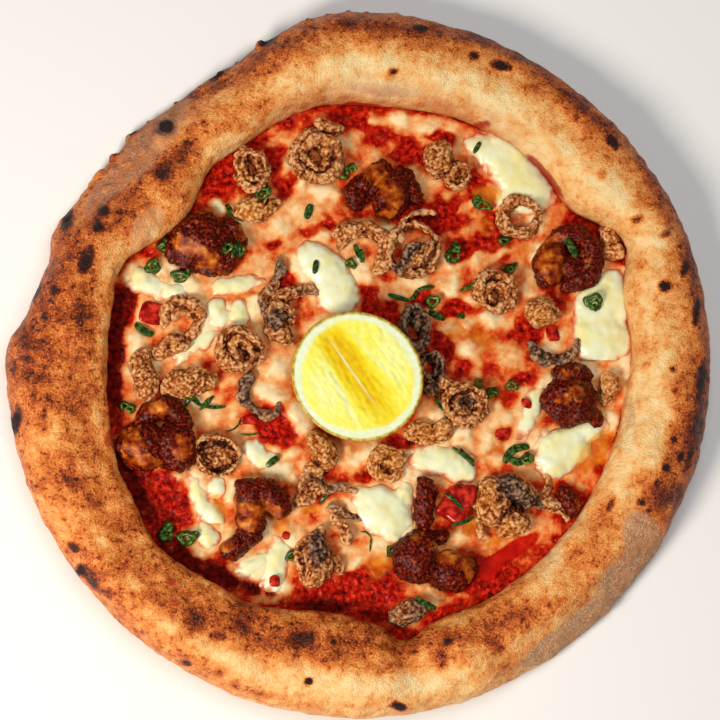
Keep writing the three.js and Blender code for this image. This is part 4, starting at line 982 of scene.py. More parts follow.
# Each piece of mozzarella has its height above the sauce and the lobes that it melted into: x, y,
# half length, half width and turn.
MOZZARELLA = [
    (4.5, [(67, 82, 20.5, 9.6, -49), (69, 70.5, 9.5, 6, -10), (51, 93.5, 5.4, 4.6, 0)]),
    (5.0, [
        (104.5, 25.5, 12, 10.5, 20), (104, 11, 12.5, 10, 0),
        (107.5, 35, 5.9, 5.4, 0), (104, -0.6, 7.3, 3.5, 0),
    ]),
    (4.7, [(87.5, -36, 12.5, 9, 25), (98, -28, 8.8, 5.4, 20), (82.5, -43.5, 6.4, 5.7, 0)]),
    (3.4, [(73, -21.5, 12, 4.3, 68)]),
    (4.3, [(36, -42.5, 12.5, 6.4, -12), (26.5, -41, 5.9, 4.1, 20), (44, -46.5, 4.9, 4.3, 0)]),
    (4.8, [
        (10.5, -64.5, 12, 9.8, -15), (4, -58, 7.3, 5.4, 0),
        (18, -55.5, 5.9, 3.5, 40), (13, -73.5, 5.9, 3.9, 0),
    ]),
    (4.6, [(-16, 40, 12.5, 8.3, -35), (-10, 29.5, 9.3, 9.3, 0), (-23, 45.5, 4.9, 4.4, 0)]),
    (4.0, [(-91, 32, 8.3, 4.5, -12), (-79, 29, 6.6, 3.7, 5), (-93.5, 36, 4.9, 3.5, 0)]),
    (3.9, [(-61, 19.5, 5.1, 7, 8), (-52, 20, 4.5, 6, -8)]),
    (3.4, [(-51.5, 32.5, 9.8, 3.5, 12), (-58.5, 31.5, 4.9, 3.5, 0)]),
    (3.4, [(-72, 5.6, 11, 3.5, 36), (-65.5, 10, 4.9, 2.9, 50)]),
    (3.7, [(-68.5, -58, 3.5, 10.5, 18), (-62, -67, 5.9, 3.9, -70), (-60.5, -54, 4.9, 3.9, -60)]),
    (3.6, [(-65, -74.5, 5.7, 4.9, -50)]),
    (3.4, [(-45, -86.5, 8.3, 4.1, 32)]),
    (3.6, [(-35.5, -84.5, 5.1, 10.5, -14), (-37, -93, 4.4, 5.9, 0)]),
    (3.4, [(-45, -38.5, 6, 4.5, -40), (-40, -42.5, 4.9, 3.9, 0)]),
]


def depth_in(lobes, x, y):
    """How deep each place lies inside the lobes, in millimetres, and negative outside them."""
    depth = np.full_like(x, FAR_OUT)
    for at_x, at_y, half_length, half_width, turn in lobes:
        along, across = along_and_across(x, y, at_x, at_y, turn)
        shares = np.abs(along / half_length) ** SQUARISH + np.abs(across / half_width) ** SQUARISH
        reach = shares ** (1 / SQUARISH)
        depth = np.logaddexp(depth, (1 - reach) * min(half_length, half_width))
    return depth


def make_mozzarella(number, height, lobes, material):
    """One piece of cheese, melted into rounded lobes with a thin, ragged edge."""
    def inside(x, y):
        return depth_in(lobes, x, y) > -CHEESE_EDGE

    at_x, at_y, half_length = lobes[0][:3]
    half = 1.5 * half_length + 6
    slab = patch((at_x, at_y), half, CHEESE_CELL, inside, CHEESE_FLOOR)
    mesh = mesh_of(slab, f"melted_mozzarella_{number}")
    points = points_of(mesh)
    top = points[:, 2] > CHEESE_FLOOR / 2
    points[:, 2] += SAUCE_TOP
    depth = depth_in(lobes, points[:, 0], points[:, 1]) + 1.3 * perlin(points, 6, number)
    depth += 0.6 * perlin(points, 2.4, number + 0.5) + 0.6
    body = 1 - np.exp(-np.clip(depth, 0, None) / CHEESE_CURVE)
    folds = 0.18 * perlin(points, 9, number + 2) + 0.07 * perlin(points, 3.5, number + 4)
    rise = height * body * (1 + folds) - 0.8 * np.clip(-depth, 0, 1.6)
    points[:, 2] += np.where(top, rise, 0)
    move_points(mesh, points)
    x, y = as_seen(points)
    store(mesh, thin=step(0.72, 0.0, body), oil=0.8 * step(0.4, 0.8, marks(OILY, x, y)))
    return put(mesh, material, "mozzarella", f"mozzarella_{number}")


# ---------------------------------------------------------------- shapes of the toppings

RIDGE_EVERY = 6  # millimetres along squid and prawns


def crumple(verts, amount):
    """Pushes vertices out of true by slow waves, up to `amount` millimetres."""
    for v in verts:
        x, y, z = v.co
        v.co.x += amount * math.sin(0.41 * y + 0.37 * z + 1.7)
        v.co.y += amount * math.sin(0.38 * z + 0.43 * x + 0.6)
        v.co.z += 0.6 * amount * math.sin(0.45 * x - 0.39 * y)


# Each maker below gives back a function that adds its closed shape to a bmesh.


def lump(x, y, length, width, height, turn, squared=1.0):
    """A rounded lump with its middle a third of `height` above the sauce. The smaller `squared`
    is, the nearer it comes to a block."""
    def shape(bm):
        size = Matrix.Diagonal((length / 2, width / 2, height * 0.68, 1))
        place = Matrix.Translation((x, y, SAUCE_TOP + height * 0.32))
        matrix = place @ Matrix.Rotation(math.radians(turn), 4, "Z") @ size
        made = bmesh.ops.create_uvsphere(bm, u_segments=28, v_segments=18, radius=1)
        for v in made["verts"]:
            v.co = matrix @ Vector(math.copysign(abs(c) ** squared, c) for c in v.co)
        crumple(made["verts"], 0.7)
    return shape


def sweep(path, length, widths, heights, lift=0.0, ridges=0.0):
    """A closed body along a path, with its widths and heights at the two ends, raised by `lift`
    and with a number of low ridges."""
    def shape(bm):
        steps = max(16, round(length * 1.5))
        made = bmesh.ops.create_uvsphere(bm, u_segments=14, v_segments=steps, radius=1)
        for v in made["verts"]:
            share = (v.co.z + 1) / 2
            out = math.sqrt(v.co.xy.length) or 1
            ridge = 1 + 0.07 * math.cos(2 * math.pi * ridges * share)
            wide = ridge * (widths[0] + (widths[1] - widths[0]) * share) / 2
            tall = ridge * (heights[0] + (heights[1] - heights[0]) * share) / 2
            side, up = v.co.x / out * wide, v.co.y / out * tall
            here = path(share)
            ahead = (path(share + 0.01) - path(share - 0.01)).normalized()
            middle = SAUCE_TOP + 0.72 * tall / ridge + lift
            v.co = (here.x - ahead.y * side, here.y + ahead.x * side, middle + up)
        crumple(made["verts"], 0.5)
    return shape


def arc(x, y, radius, start, turned, first, last, lift=0.0):
    """A ridged body along part of a circle, as thick as `first` and `last` at its two ends."""
    def path(share):
        angle = math.radians(start + turned * share)
        return Vector((x + radius * math.cos(angle), y + radius * math.sin(angle)))
    length = radius * math.radians(abs(turned))
    return sweep(path, length, (first, last), (first, last), lift, length / RIDGE_EVERY)


def arm(x1, y1, x2, y2, bow, first, last, lift=0.0):
    """A ridged body from one place to another, bent to its left by `bow` millimetres."""
    start, end = Vector((x1, y1)), Vector((x2, y2))
    length = (end - start).length
    sideways = Vector((start.y - end.y, end.x - start.x)) / length

    def path(share):
        return start.lerp(end, share) + sideways * bow * math.sin(math.pi * share)
    return sweep(path, length, (first, last), (first, last), lift, length / RIDGE_EVERY)


def curl(x, y, length, width, wall, height, turn, coils=2.1):
    """A cut ring of squid, its wall rolled over itself: it steps inwards after most of a turn."""
    layers = 1.9 if coils > 1.1 else 1
    thin = wall / layers
    narrow = width / length
    c, s = math.cos(math.radians(turn)), math.sin(math.radians(turn))

    def path(share):
        angle = 2 * math.pi * coils * share
        inward = min(max((coils * share - 0.7) / 0.5, 0), 1) * (wall - thin)
        radius = (length - thin) / 2 - inward
        u, v = radius * math.cos(angle), radius * narrow * math.sin(angle)
        return Vector((x + u * c - v * s, y + u * s + v * c))
    around = math.pi * length * coils * 0.85
    return sweep(path, around, (thin, thin), (height, height * 0.8))


def fused(shapes, grain):
    """Joins overlapping closed shapes into one skin with cells of `grain` millimetres, and cuts
    off what is deep in the sauce."""
    bm = bmesh.new()
    for shape in shapes:
        shape(bm)
    bmesh.ops.recalc_face_normals(bm, faces=bm.faces[:])
    rough = bpy.data.objects.new("rough", mesh_of(bm, "rough"))
    bpy.context.scene.collection.objects.link(rough)
    remesh = rough.modifiers.new("one skin", "REMESH")
    remesh.mode = "VOXEL"
    remesh.voxel_size = grain
    bm = bmesh.new()
    bm.from_object(rough, bpy.context.evaluated_depsgraph_get())
    old = rough.data
    bpy.data.objects.remove(rough)
    bpy.data.meshes.remove(old)
    everything = bm.verts[:] + bm.edges[:] + bm.faces[:]
    level = (0, 0, SAUCE_TOP - SUNK)
    bmesh.ops.bisect_plane(
        bm, geom=everything, plane_co=level, plane_no=(0, 0, 1), clear_inner=True,
    )
    bmesh.ops.holes_fill(bm, edges=[e for e in bm.edges if e.is_boundary])
    return bm


# ---------------------------------------------------------------- prawns

PRAWNS = [
    [
        lump(-68, 51, 28, 24, 11, -25), arc(-64, 50, 11.5, 60, -200, 7.5, 6),
        arc(-72, 48, 8, 120, 160, 7, 6),
    ],
    [
        arm(-4.5, 65, 12, 84, 2.5, 11.5, 9), lump(12.5, 71.5, 22, 17, 11, 75),
        arm(14.5, 83, 24, 66.5, 2, 8, 7),
    ],
    [
        arc(89.5, 44.5, 10.5, 130, -240, 11, 9), lump(81.5, 43, 23, 14, 10, 80),
        lump(91, 42, 13, 11, 7, 60),
    ],
    [
        lump(89.5, -16.5, 24, 22, 12, 0), lump(90.5, -5, 17, 9.5, 9, 0),
        lump(98.5, -22.5, 11, 9.5, 6, -40),
    ],
    [
        lump(-92.5, -37, 21.5, 21.5, 12, 0), lump(-78.5, -37, 21, 19, 11, 90),
        arc(-84, -30.5, 9.5, 160, -160, 9.5, 9),
    ],
    [
        arm(-50, -51, -48.5, -78, 2.5, 13.5, 12.5), arm(-46, -53, -32, -66.5, 1.5, 12, 12),
        lump(-53.5, -79.5, 12, 10, 8, 20),
    ],
    [
        lump(23.5, -83.5, 22, 20.5, 12, 80), lump(39, -89, 20.5, 18, 11, 10),
        arm(17.5, -78, 37, -75, 1.5, 7.5, 7),
    ],
    [arm(27.5, -49, 25.5, -72, 1, 9.5, 7.5)],
    [arm(84.5, -54, 93, -64.5, 1, 7.5, 7)],
]


def make_prawn(number, shapes, material):
    """One prawn, grainy where it is crusted and smooth under its amber glaze."""
    mesh = mesh_of(fused(shapes, PRAWN_CELL), f"glazed_prawn_{number}")
    points = points_of(mesh)
    x, y = as_seen(points)
    ragged = 0.3 * perlin(points, 4, number) + 0.2 * perlin(points, 1.8, 5)
    crusted = step(0.8, 0.2, marks(AMBER, x, y) + ragged)
    grains = 0.5 * perlin(points, 2.2, number) + 0.4 * perlin(points, 1.2, number + 3)
    swell = 0.6 * perlin(points, 6, number + 6) + crusted * (0.2 + 1.4 * grains)
    move_points(mesh, points + normals_of(mesh) * swell[:, None])
    store(mesh, crusted=crusted)
    return put(mesh, material, "prawn", f"prawn_{number}")


# ---------------------------------------------------------------- squid

# Each piece has its tone, from 0 for bare dark tentacles to 1 for golden batter, and its shapes.
CALAMARI = [
    (0.5, [curl(-19, 88, 25, 24.5, 9.9, 10, 90), lump(-14.5, 100.5, 12, 7, 7, -10)]),
    (0.5, [curl(-47, 82, 21, 15, 7.6, 9, 100)]),
    (0.75, [lump(-45.5, 64, 18, 11, 7, 5), curl(-39, 66, 9, 8, 3, 8, 0, 1)]),
    (0.6, [lump(33.5, 87, 17, 13, 9, 80), curl(41.5, 81, 14.5, 11, 5.4, 8, 60)]),
    (0.5, [curl(69, 63, 21, 18.5, 5.2, 8, 20, 1)]),
    (0.5, [arc(1, 47, 10, -70, 250, 7.5, 6), lump(-4.5, 56, 15.5, 7.5, 6, 10)]),
    (0.4, [
        curl(22.5, 48, 25.5, 24, 3.6, 10, 40, 1), arm(15, 37, 30, 52.5, -1.5, 7, 6, 2),
        arc(27, 54.5, 10, 200, -140, 3, 2.5, 5), curl(24, 46, 12, 10, 3.5, 8, 0),
    ]),
    (0.5, [curl(58, 29.5, 22, 17.5, 8.9, 10, -50)]),
    (0.75, [lump(77.5, 22, 15.5, 12, 8, -30)]),
    (0.6, [lump(106.5, 55, 11, 7.5, 7, 100), lump(109, 48, 11, 7.5, 6, -35)]),
    (0.42, [
        arc(-24, 17.5, 13, 55, 125, 3.5, 7), lump(-35, 12.5, 14.5, 11, 8, -50),
        arc(-33, 24, 8.5, 100, 110, 5, 5), curl(-34, 19, 14, 13, 4.5, 8, 0, 1),
    ]),
    (0.5, [
        arc(-76, 17.5, 7.5, -80, 290, 6, 5), lump(-81, 5.5, 17, 8.5, 7, 20),
        arc(-76, 17.5, 3, 0, 200, 4, 4),
    ]),
    (0.55, [lump(-92, -7, 22, 11, 8, 95), arm(-95.5, -1, -93, -14, 0.5, 5, 4, 3)]),
    (0.6, [lump(-73.5, -10, 24, 13, 8, 8)]),
    (0.5, [curl(-51.5, 4, 22.5, 20, 9.4, 10, -40)]),
    (0.1, [arc(-41.5, -13, 8.5, 120, 170, 7, 3.5), arc(-40, -19, 5, 200, 200, 3.5, 2.5)]),
    (0.1, [curl(23, 15, 21, 12, 4.5, 8, 95, 1), lump(24, 17, 12, 5, 6, 95)]),
    (0.15, [curl(29.5, -2, 17, 13, 5.5, 8, 110), lump(30, -10.5, 8.5, 7, 6, 0)]),
    (0.5, [curl(45, -18.5, 23.5, 18.5, 9.4, 10, -25), lump(36, -10.5, 10, 6, 6, -30)]),
    (0.85, [lump(27, -30.5, 17, 9.5, 6, -5), lump(34.5, -29.5, 11, 10, 7, 0)]),
    (0.15, [arc(83, 11.5, 10.5, 190, 165, 6, 5)]),
    (0.45, [curl(-61, -40.5, 20.5, 18, 2.8, 8, -15, 1), lump(-61, -40.5, 15.5, 13, 4.5, -15)]),
    (0.8, [lump(-16.5, -38, 17, 12, 8, -60), lump(-19.5, -47, 8.5, 7, 6, 0)]),
    (0.85, [curl(11.5, -44, 17, 16, 6.4, 8, 0, 1), lump(13.5, -42, 12, 9, 7, 40)]),
    (0.5, [
        lump(-19, -84.5, 24, 14, 9, 80), arm(-13, -66, -4.5, -78.5, 1.5, 5, 4, 1),
        arm(-16.5, -70, -7, -90.5, -2.5, 6, 5), arc(-19, -83, 8, 60, 250, 3.5, 3, 2.5),
    ]),
    (0.4, [lump(-21, -53, 13.5, 11, 7, 40), lump(-23.5, -58.5, 9.5, 7.5, 6, 0)]),
    (0.45, [
        lump(57, -59, 22, 17, 10, 80), lump(66, -55, 20.5, 12, 10, -30),
        lump(65, -68.5, 16, 12, 8, 20), arm(72.5, -57.5, 89, -67, 1.5, 6, 4),
        arm(76, -59, 80.5, -45.5, -1.5, 4, 3), arc(60.5, -57, 6, 20, 260, 3.5, 3, 4),
        arc(55, -70, 5, 90, 180, 3, 3, 1),
    ]),
    (0.25, [lump(20, -106.5, 16, 11, 8, 15)]),
    (0.2, [arm(-16.5, -55.5, -1.5, -55.5, 1.5, 5, 3.5), arm(-13, -61, 0.5, -67, -1, 5, 3.5)]),
    (0.8, [lump(106.5, -10.5, 14.5, 8.5, 7, 90)]),
    (0.05, [arm(-34, 44, -38, 32, 1, 5, 4)]),
]

# Marks where squid is darker than the rest of its piece, or more golden where they are below 0.
DARK_SQUID = [
    (-36, 17.5, 4, 4, 0, 0.6), (19, 45, 11, 3, 52, 0.7), (63, -51, 7, 4, -60, 0.8),
    (69.5, -58.5, 9, 3.5, -25, 0.8), (-18, -80.5, 4, 9, 5, 0.6), (45, -17.5, 4, 3.5, 0, 0.5),
    (-22, 28, 9, 3, -15, 0.25), (-43, 22, 2.5, 8, -10, 0.3), (-51, 64, 6, 5, 0, -0.5),
    (53, -59, 6, 9, 0, -0.4), (63, -71.5, 8, 5, 20, -0.4),
]


def make_calamari(number, tone, shapes, material):
    """One piece of squid in crumbly batter, with painted shade in its pits and hollows and painted
    light on its raised crumbs kept for the material.
    """
    mesh = mesh_of(fused(shapes, SQUID_CELL), f"fried_squid_{number}")
    points = points_of(mesh)
    folds = 0.3 - np.abs(perlin(points, 5.5, number))
    crumbs = np.abs(perlin(points, 2.1, number + 4)) - 0.2
    dust = perlin(points, 1.1, number + 6)
    swell = 0.9 * perlin(points, 8, number + 8) + 1.5 * folds + 1.0 * crumbs + 0.3 * dust
    move_points(mesh, points + normals_of(mesh) * (min(1, 0.7 + tone) * swell - 0.1)[:, None])
    x, y = as_seen(points)
    # Painted shade: the batter is darker in the squid's hollows and pits, and painted light makes
    # it paler on its raised crumbs.
    shaded_hollows = 0.53 - 0.3 * hollows(mesh, 45) - 0.35 * hollows(mesh, 8)
    store(
        mesh,
        ridge=shaded_hollows + 0.35 * crumbs + 0.1 * dust,
        tone=tone - marks(DARK_SQUID, x, y) + 0.25 * perlin(points, 6, number + 2),
    )
    return put(mesh, material, "calamari", f"calamari_{number}")


def make_tomato(material):
    """The piece of tomato: a soft wedge with fine wrinkles along it."""
    shapes = [lump(41, -60.5, 17, 12.5, 5.5, 55, 0.45), lump(45, -57, 10, 6.5, 7, 70, 0.4)]
    mesh = mesh_of(fused(shapes, TOMATO_CELL), "cooked_tomato_piece")
    points = points_of(mesh)
    along, across = along_and_across(points[:, 0], points[:, 1], 0, 0, 70)
    streaks = perlin(np.column_stack([along / 4, across, points[:, 2]]), 1.8, 1.0)
    folds = 0.5 * perlin(points, 8, 2.0) + 0.15 * streaks
    move_points(mesh, points + normals_of(mesh) * folds[:, None])
    return put(mesh, material, "tomato", "tomato_piece")


# ---------------------------------------------------------------- lemon

LEMON_STEPS = 180  # round the lemon
FACE_RINGS = 60  # on its cut face

# Marks on the cut face: darker and paler flesh, and the skins between the segments.
LEMON_AMBER = [(-1, -7, 27, 7.5, -52, 1.0), (-8, 5, 10, 6, -50, 0.6)]
LEMON_PALE = [(14, 3, 11, 7, -60, 0.35), (-15, -13, 12, 7, -65, 0.35)]
MEMBRANES = [
    (-4.5, -3.5, 16, 0.5, -55, 0.6), (6.5, 0.5, 17, 0.9, -47, 0.45), (-8.5, -14, 18, 1.5, -62, 0.5),
]


def spun(bm, section, steps, closed=False):
    """Turns a section of (distance out, height) round the upright axis."""
    chain = [bm.verts.new((out, 0, height)) for out, height in section]
    ahead = chain[1:] + chain[:1] if closed else chain[1:]
    edges = [bm.edges.new(pair) for pair in zip(chain, ahead)]
    bmesh.ops.spin(
        bm, geom=chain + edges, cent=(0, 0, 0), axis=(0, 0, 1),
        angle=2 * math.pi, steps=steps, use_merge=True,
    )


def make_lemon(material):
    """Half a lemon with its cut face up, spun from its outline and then drawn out and leant."""
    deep = LEMON_FACE - SAUCE_TOP - 0.3
    bm = bmesh.new()
    section = []
    for angle in np.linspace(-90, -4, 22):
        out = max(math.cos(math.radians(angle)), 0) ** 0.8
        section.append((out, deep * math.sin(math.radians(angle))))
    section += [(share, 0.0) for share in np.linspace(0.985, 0, FACE_RINGS)]
    spun(bm, section, LEMON_STEPS)
    bmesh.ops.remove_doubles(bm, verts=bm.verts[:], dist=TOUCHING)
    bmesh.ops.recalc_face_normals(bm, faces=bm.faces[:])
    mesh = mesh_of(bm, "lemon_half")
    points = points_of(mesh)
    out = np.hypot(points[:, 0], points[:, 1])
    round_lemon = np.arctan2(points[:, 1], points[:, 0])
    face = points[:, 2] > -0.3
    half = Matrix.Diagonal((LEMON_LENGTH / 2, LEMON_WIDTH / 2, 1, 1))
    turned = Matrix.Rotation(math.radians(LEMON_TURN), 4, "Z")
    matrix = Matrix.Translation((*LEMON_AT, LEMON_FACE)) @ turned @ half
    mesh.transform(matrix)
    points = points_of(mesh)
    lean = np.clip(1 + (points[:, 2] - LEMON_FACE) / deep, 0, 1)
    points[:, 0] += LEMON_LEAN[0] * lean
    points[:, 1] += LEMON_LEAN[1] * lean
    x, y = as_seen(points)
    flesh_edge = 0.85 + 0.02 * np.sin(3 * round_lemon + 1) + 0.008 * np.sin(11 * round_lemon)
    flesh = face * step(flesh_edge + 0.035, flesh_edge - 0.035, out)
    along, across = along_and_across(x, y, 0, 0, 125)
    streak = perlin(np.column_stack([along * 0.25, across, 0 * x]), 1.6, 3.0)
    sac = np.clip(marks(LEMON_AMBER, x, y), 0, 1) - marks(LEMON_PALE, x, y)
    points[:, 2] += flesh * (0.3 * perlin(points, 2.4, 1.0) + 0.25 * streak - 0.5 * sac)
    move_points(mesh, points)
    store(
        mesh,
        sac=0.3 + 0.58 * sac + 0.14 * streak,
        pith=face * (1 - flesh) + face * marks(MEMBRANES, x, y),
        peel=np.where(face, step(0.94, 0.965, out), 1.0),
    )
    return put(mesh, material, "lemon", "lemon_half")


# ---------------------------------------------------------------- chopped greens and tomato bits

HOOP_STEPS = 22  # round a hoop
WIDE_HOOP = 7  # a hoop wider than this holds a smaller one

# Short lengths of leaf: x, y, width, how round each is from above, turn and tilt in degrees.
HOOPS = [
    (-42.5, 72, 8.0, 0.8, 20, 25), (-8.1, 80.5, 6.4, 0.8, 70, 30), (-4, 83.5, 4.5, 0.8, 10, 30),
    (-84, 49, 7.2, 0.85, 30, 30), (-89, 39.5, 7.6, 0.9, 50, 20), (-77, 36, 8.4, 0.7, 0, 30),
    (-58, 48, 5.7, 0.8, 60, 30), (-52.5, 46.5, 5.5, 0.7, 100, 35), (-4.1, 42, 5.7, 0.75, -30, 30),
    (52.5, 67.5, 8.6, 0.5, -10, 10), (61.5, 53, 5.7, 0.7, 0, 30), (39, 46.5, 9.6, 0.9, 70, 45),
    (100, 27, 9.2, 0.8, 5, 20), (70.5, -40.5, 6.5, 0.7, 30, 30), (30.5, 26, 6.8, 0.85, 20, 15),
    (-101, -19.5, 4.9, 0.8, 40, 30), (-97, -20.5, 4.7, 0.8, -40, 30), (-83, -73, 9.4, 0.8, 70, 35),
    (-73.5, -75, 9.2, 0.75, 0, 25), (-30, -82.5, 5.7, 0.8, 50, 15), (64.5, -9.8, 5.9, 0.8, -10, 12),
    (12, -80.5, 5.9, 0.6, 80, 40), (55.5, -12, 5.5, 0.75, 20, 50), (63.5, 41, 5.1, 0.6, 10, 35),
]
# Shreds of leaf: x and y of both ends, how far each bends to its left, and its width.
STRIPS = [
    (-23.5, 60.5, -21.5, 67, 0.0, 3.3), (-57.5, 66.5, -56, 61, 0.4, 2.5),
    (-20, 37, -19, 43, 0.0, 2.5), (-2.7, 50, -0.7, 44, 0.0, 2.3), (-96, 15, -88, 10, -0.8, 3.3),
    (-55, 43, -52, 51, 0.6, 1.8), (48.5, 90, 51.5, 95, 0.0, 2.1), (87.5, 53, 92, 44.5, 0.0, 3.3),
    (-0.2, 48, 0.6, 42, 0.0, 2.5), (42.5, 30.5, 52.5, 33, 0.4, 2.0),
    (11.5, 28.5, 20.5, 26, 0.0, 2.0), (20.5, 26, 24, 30.5, -0.6, 1.8),
    (24, 30.5, 31.5, 32, 0.4, 1.8), (29, 21.5, 36, 18, 0.0, 2.7), (41.5, 20, 44.5, 19, 0.0, 2.1),
    (19.5, 17, 21.5, 19, 0.0, 2.1), (-75, -16.5, -68.5, -19, 1.0, 2.5),
    (-71, -18.5, -57.5, -20, -1.0, 1.6), (-74.5, -20, -70.5, -15, 0.6, 1.8),
    (-68.5, -21.5, -65, -16.5, -0.5, 1.6), (-65, -19, -62.5, -15.5, 0.4, 1.4),
    (-40, -45, -35, -41, 0.0, 2.9), (-85, -77.5, -80.5, -69.5, 0.0, 2.5),
    (-18, -61, -14.5, -57, 0.0, 1.8), (-57, -30.5, -51, -25, -1.4, 0.8),
    (-51, -31.5, -43, -31, -0.6, 0.8), (49.5, -12, 50.5, -6.9, 0.0, 3.3),
    (32.5, -12.5, 35, -21, -1.4, 1.8), (39, -36.5, 48.5, -44.5, 0.4, 1.6),
    (42.5, -37, 48.5, -42.5, -0.4, 1.4), (61, -43, 67.5, -35.5, 0.8, 3.6),
    (64.5, -38, 72, -36, 0.6, 3.2), (63, -41, 70, -42.5, -0.8, 3.4),
    (35.5, -56, 43.5, -63, 0.4, 1.6), (38.5, -69.5, 48.5, -66, -0.6, 1.8),
    (-0.2, -72.5, 4.3, -75, 0.8, 0.8), (4.3, -75, 3.7, -81, 0.0, 0.8),
    (23, -100.5, 32, -105, -0.4, 2.9), (60.5, 40, 67.5, 42.5, 0.0, 2.1),
]
# Bits of tomato and drops of sauce on the cheese: x, y, half length and half width.
RED_BITS = [
    (-88.5, 19.5, 5.8, 4.8), (82.5, 12, 2.8, 3.3), (-36, -94, 2.3, 2.5), (71.5, -17.5, 2.3, 2.1),
    (61, -30.5, 3.3, 2.5), (-31.5, -74.5, 1.6, 1.6), (-48, -26, 3.9, 2.0),
]


def eye_ray(x, y):
    """Where the camera stands, and its line of sight through a mark, in metres."""
    target = Vector((x, y, VIEW_HEIGHT))
    eye = towards_eye() * VIEW_DISTANCE + Vector((*VIEW_CENTRE, VIEW_HEIGHT))
    shift = Vector((SHIFT.x, SHIFT.y, 0))
    return (eye + shift) / 1000, (target - eye).normalized()


def surface_at(trees, x, y):
    """The place, in millimetres, of what the camera sees at a mark."""
    start, direction = eye_ray(x, y)
    hits = [tree.ray_cast(start, direction) for tree in trees]
    nearest = min((hit for hit in hits if hit[0]), key=lambda hit: hit[3])
    return nearest[0] * 1000 - Vector((SHIFT.x, SHIFT.y, 0))


def add_hoop(bm, inner, place, across, squeeze, turn, tilt, wall, tall):
    """A short length of leaf that stands on its cut end."""
    radius = across / 2
    section = [
        (radius, 0), (radius, tall * 0.8), (radius - 0.3 * wall, tall),
        (radius - 0.7 * wall, tall), (radius - wall, tall * 0.8), (radius - wall, 0),
    ]
    before = set(bm.verts)
    spun(bm, section, HOOP_STEPS, closed=True)
    made = [v for v in bm.verts if v not in before]
    for v in made:
        within = (radius - v.co.xy.length) / wall
        v[inner] = min(max(within, 0), 1) * (1.0 if v.co.z > 0.2 else 0.5)
        angle = math.atan2(v.co.y, v.co.x)
        wave = 1 + 0.14 * math.sin(3 * angle + turn) + 0.08 * math.sin(5 * angle - turn)
        v.co.x *= wave
        v.co.y *= squeeze * wave
        v.co.z *= 1 + 0.2 * math.sin(2 * angle + turn)
    lean = Matrix.Rotation(math.radians(tilt), 4, "X")
    matrix = Matrix.Translation(place) @ Matrix.Rotation(math.radians(turn), 4, "Z") @ lean
    bmesh.ops.transform(bm, matrix=matrix, verts=made)


def add_strip(bm, inner, trees, start, end, bow, width):
    """A flat shred of leaf that lies on what the camera sees from one mark to another."""
    sideways = Vector((start.y - end.y, end.x - start.x)).normalized()
    middle = surface_at(trees, *((start + end) / 2))
    first, last = surface_at(trees, *start).z, surface_at(trees, *end).z
    shift = middle.xy - (start + end) / 2
    thick = min(0.45, width * 0.3)
    made = bmesh.ops.create_uvsphere(bm, u_segments=8, v_segments=14, radius=1)["verts"]
    for v in made:
        v[inner] = 0.1
        share = (v.co.z + 1) / 2
        out = math.sqrt(v.co.xy.length) or 1
        aside = bow * math.sin(math.pi * share) + v.co.x / out * width / 2
        here = start.lerp(end, share) + sideways * aside + shift
        fold = 0.5 * math.sin(math.pi * share) + 0.3 * (v.co.x / out) ** 2 * width / 2
        rest = max(middle.z, first + (last - first) * share)
        v.co = (here.x, here.y, rest + 0.3 + fold + v.co.y / out * thick)


def make_greens(material, trees):
    """All the spring onion, in one piece: hoops that stand on their ends, and flat shreds."""
    bm = bmesh.new()
    inner = bm.verts.layers.float.new("inner")
    for x, y, across, squeeze, turn, tilt in HOOPS:
        place = surface_at(trees, x, y) + Vector((0, 0, 0.1))
        add_hoop(
            bm, inner, place, 0.92 * across, squeeze, turn, tilt, wall=0.25 * across, tall=3.0,
        )
        if across > WIDE_HOOP:
            aside = Vector((0.3 * across * math.cos(turn), 0.3 * across * math.sin(turn), 0.4))
            add_hoop(
                bm, inner, place + aside, 0.55 * across, 0.8, turn + 40, tilt - 50,
                wall=0.2 * across, tall=2.4,
            )
    for x1, y1, x2, y2, bow, width in STRIPS:
        add_strip(bm, inner, trees, Vector((x1, y1)), Vector((x2, y2)), bow, width)
    bmesh.ops.recalc_face_normals(bm, faces=bm.faces[:])
    return put(mesh_of(bm, "chopped_spring_onion"), material, "spring_onion")


def make_red_bits(material, trees):
    """Small pieces of tomato and drops of sauce that lie on the cheese."""
    bm = bmesh.new()
    for x, y, half_length, half_width in RED_BITS:
        place = surface_at(trees, x, y)
        made = bmesh.ops.create_uvsphere(bm, u_segments=32, v_segments=18, radius=1)
        for v in made["verts"]:
            squarer = [math.copysign(abs(c) ** 0.65, c) for c in v.co]
            size = (half_length * squarer[0], half_width * squarer[1], 1.1 * squarer[2])
            v.co = place + Vector(size)
        crumple(made["verts"], 0.6)
    bmesh.ops.recalc_face_normals(bm, faces=bm.faces[:])
    return put(mesh_of(bm, "tomato_bits"), material, "tomato")


# ---------------------------------------------------------------- picture


def make_light(name, place, size, power, code, shines=True):
    """A round light aimed at the pizza. Where `shines` is false, wet pieces don't mirror it."""
    data = bpy.data.lights.new(name, "AREA")
    data.shape = "DISK"
    data.size = size
    data.energy = power
    data.color = colour(code)[:3]
    light = bpy.data.objects.new(name, data)
    light.location = place
    light.rotation_euler = Vector(place).to_track_quat("Z", "Y").to_euler()
    light.visible_glossy = shines
    bpy.context.scene.collection.objects.link(light)


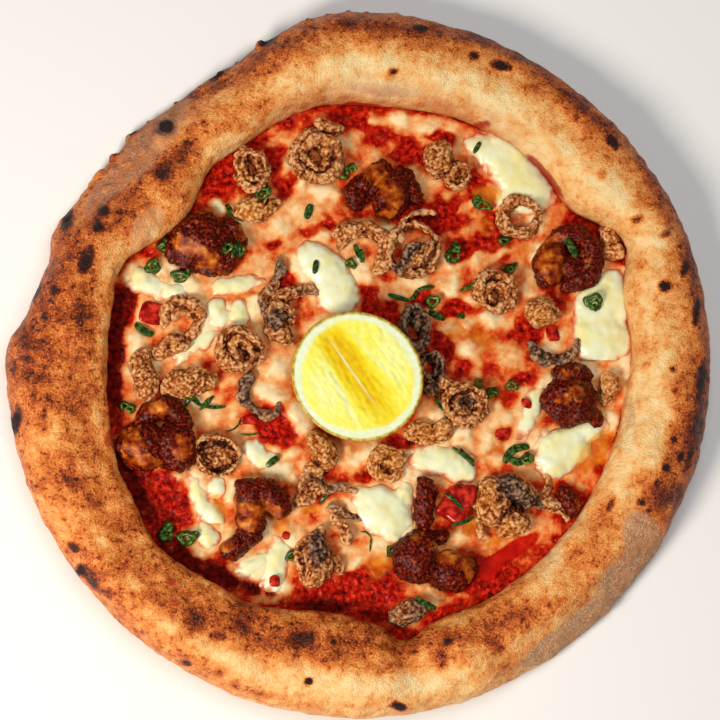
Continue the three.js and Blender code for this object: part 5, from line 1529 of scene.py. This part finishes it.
def make_camera():
    """A camera nearly straight above, with +Y up in its picture."""
    data = bpy.data.cameras.new("camera")
    data.sensor_width = SENSOR_WIDTH
    data.lens = SENSOR_WIDTH * VIEW_DISTANCE / VIEW_WIDTH
    camera = bpy.data.objects.new("camera", data)
    back = towards_eye()
    right = Vector((0, 1, 0)).cross(back).normalized()
    turned = Matrix((right, back.cross(right), back)).transposed().to_4x4()
    place = (back * VIEW_DISTANCE + Vector((*(SHIFT + VIEW_CENTRE), VIEW_HEIGHT))) / 1000
    camera.matrix_world = Matrix.Translation(place) @ turned
    bpy.context.scene.collection.objects.link(camera)
    bpy.context.scene.camera = camera


def make_floor():
    """A wide pale floor, for the picture alone."""
    bm = bmesh.new()
    bmesh.ops.create_grid(bm, x_segments=1, y_segments=1, size=FLOOR_REACH)
    mesh = mesh_of(bm, "floor")
    material, _, _ = new_material("pale_floor", {
        "Base Color": colour("ECECEC"), "Roughness": 0.9, "IOR": 1.45,
    })
    mesh.materials.append(material)
    floor = bpy.data.objects.new("floor", mesh)
    bpy.context.scene.collection.objects.link(floor)


def make_studio():
    """A low light from the near left, a soft one overhead and a dim white sky."""
    make_camera()
    make_floor()
    make_light("key", (-0.62, -0.5, 0.72), size=0.4, power=11.5, code="FFF4E4")
    make_light(
        "overhead", (0.15, 0.25, 1.2), size=0.9, power=6.8, code="FFFFFF", shines=False,
    )
    world = bpy.data.worlds.new("studio")
    world.use_nodes = True
    sky = world.node_tree.nodes["Background"].inputs
    sky["Color"].default_value = colour("FFFFFF")
    sky["Strength"].default_value = 0.11
    bpy.context.scene.world = world
    bpy.context.scene.view_settings.view_transform = "Standard"


def tree_of(piece):
    """The piece's faces, sorted for lines of sight."""
    return BVHTree.FromObject(piece, bpy.context.evaluated_depsgraph_get())


make_studio()
pieces = [make_crust(baked_dough()), make_sauce(sauce_and_film())]
cheese = melted_mozzarella()
for number, (height, lobes) in enumerate(MOZZARELLA, 1):
    pieces.append(make_mozzarella(number, height, lobes, cheese))
prawn_meat = glazed_prawn()
for number, shapes in enumerate(PRAWNS, 1):
    pieces.append(make_prawn(number, shapes, prawn_meat))
batter = fried_batter()
for number, (tone, shapes) in enumerate(CALAMARI, 1):
    pieces.append(make_calamari(number, tone, shapes, batter))
tomato = cooked_tomato()
pieces.append(make_tomato(tomato))
pieces.append(make_lemon(cut_lemon()))
trees = [tree_of(piece) for piece in pieces]
make_greens(spring_onion(), trees)
make_red_bits(tomato, trees)
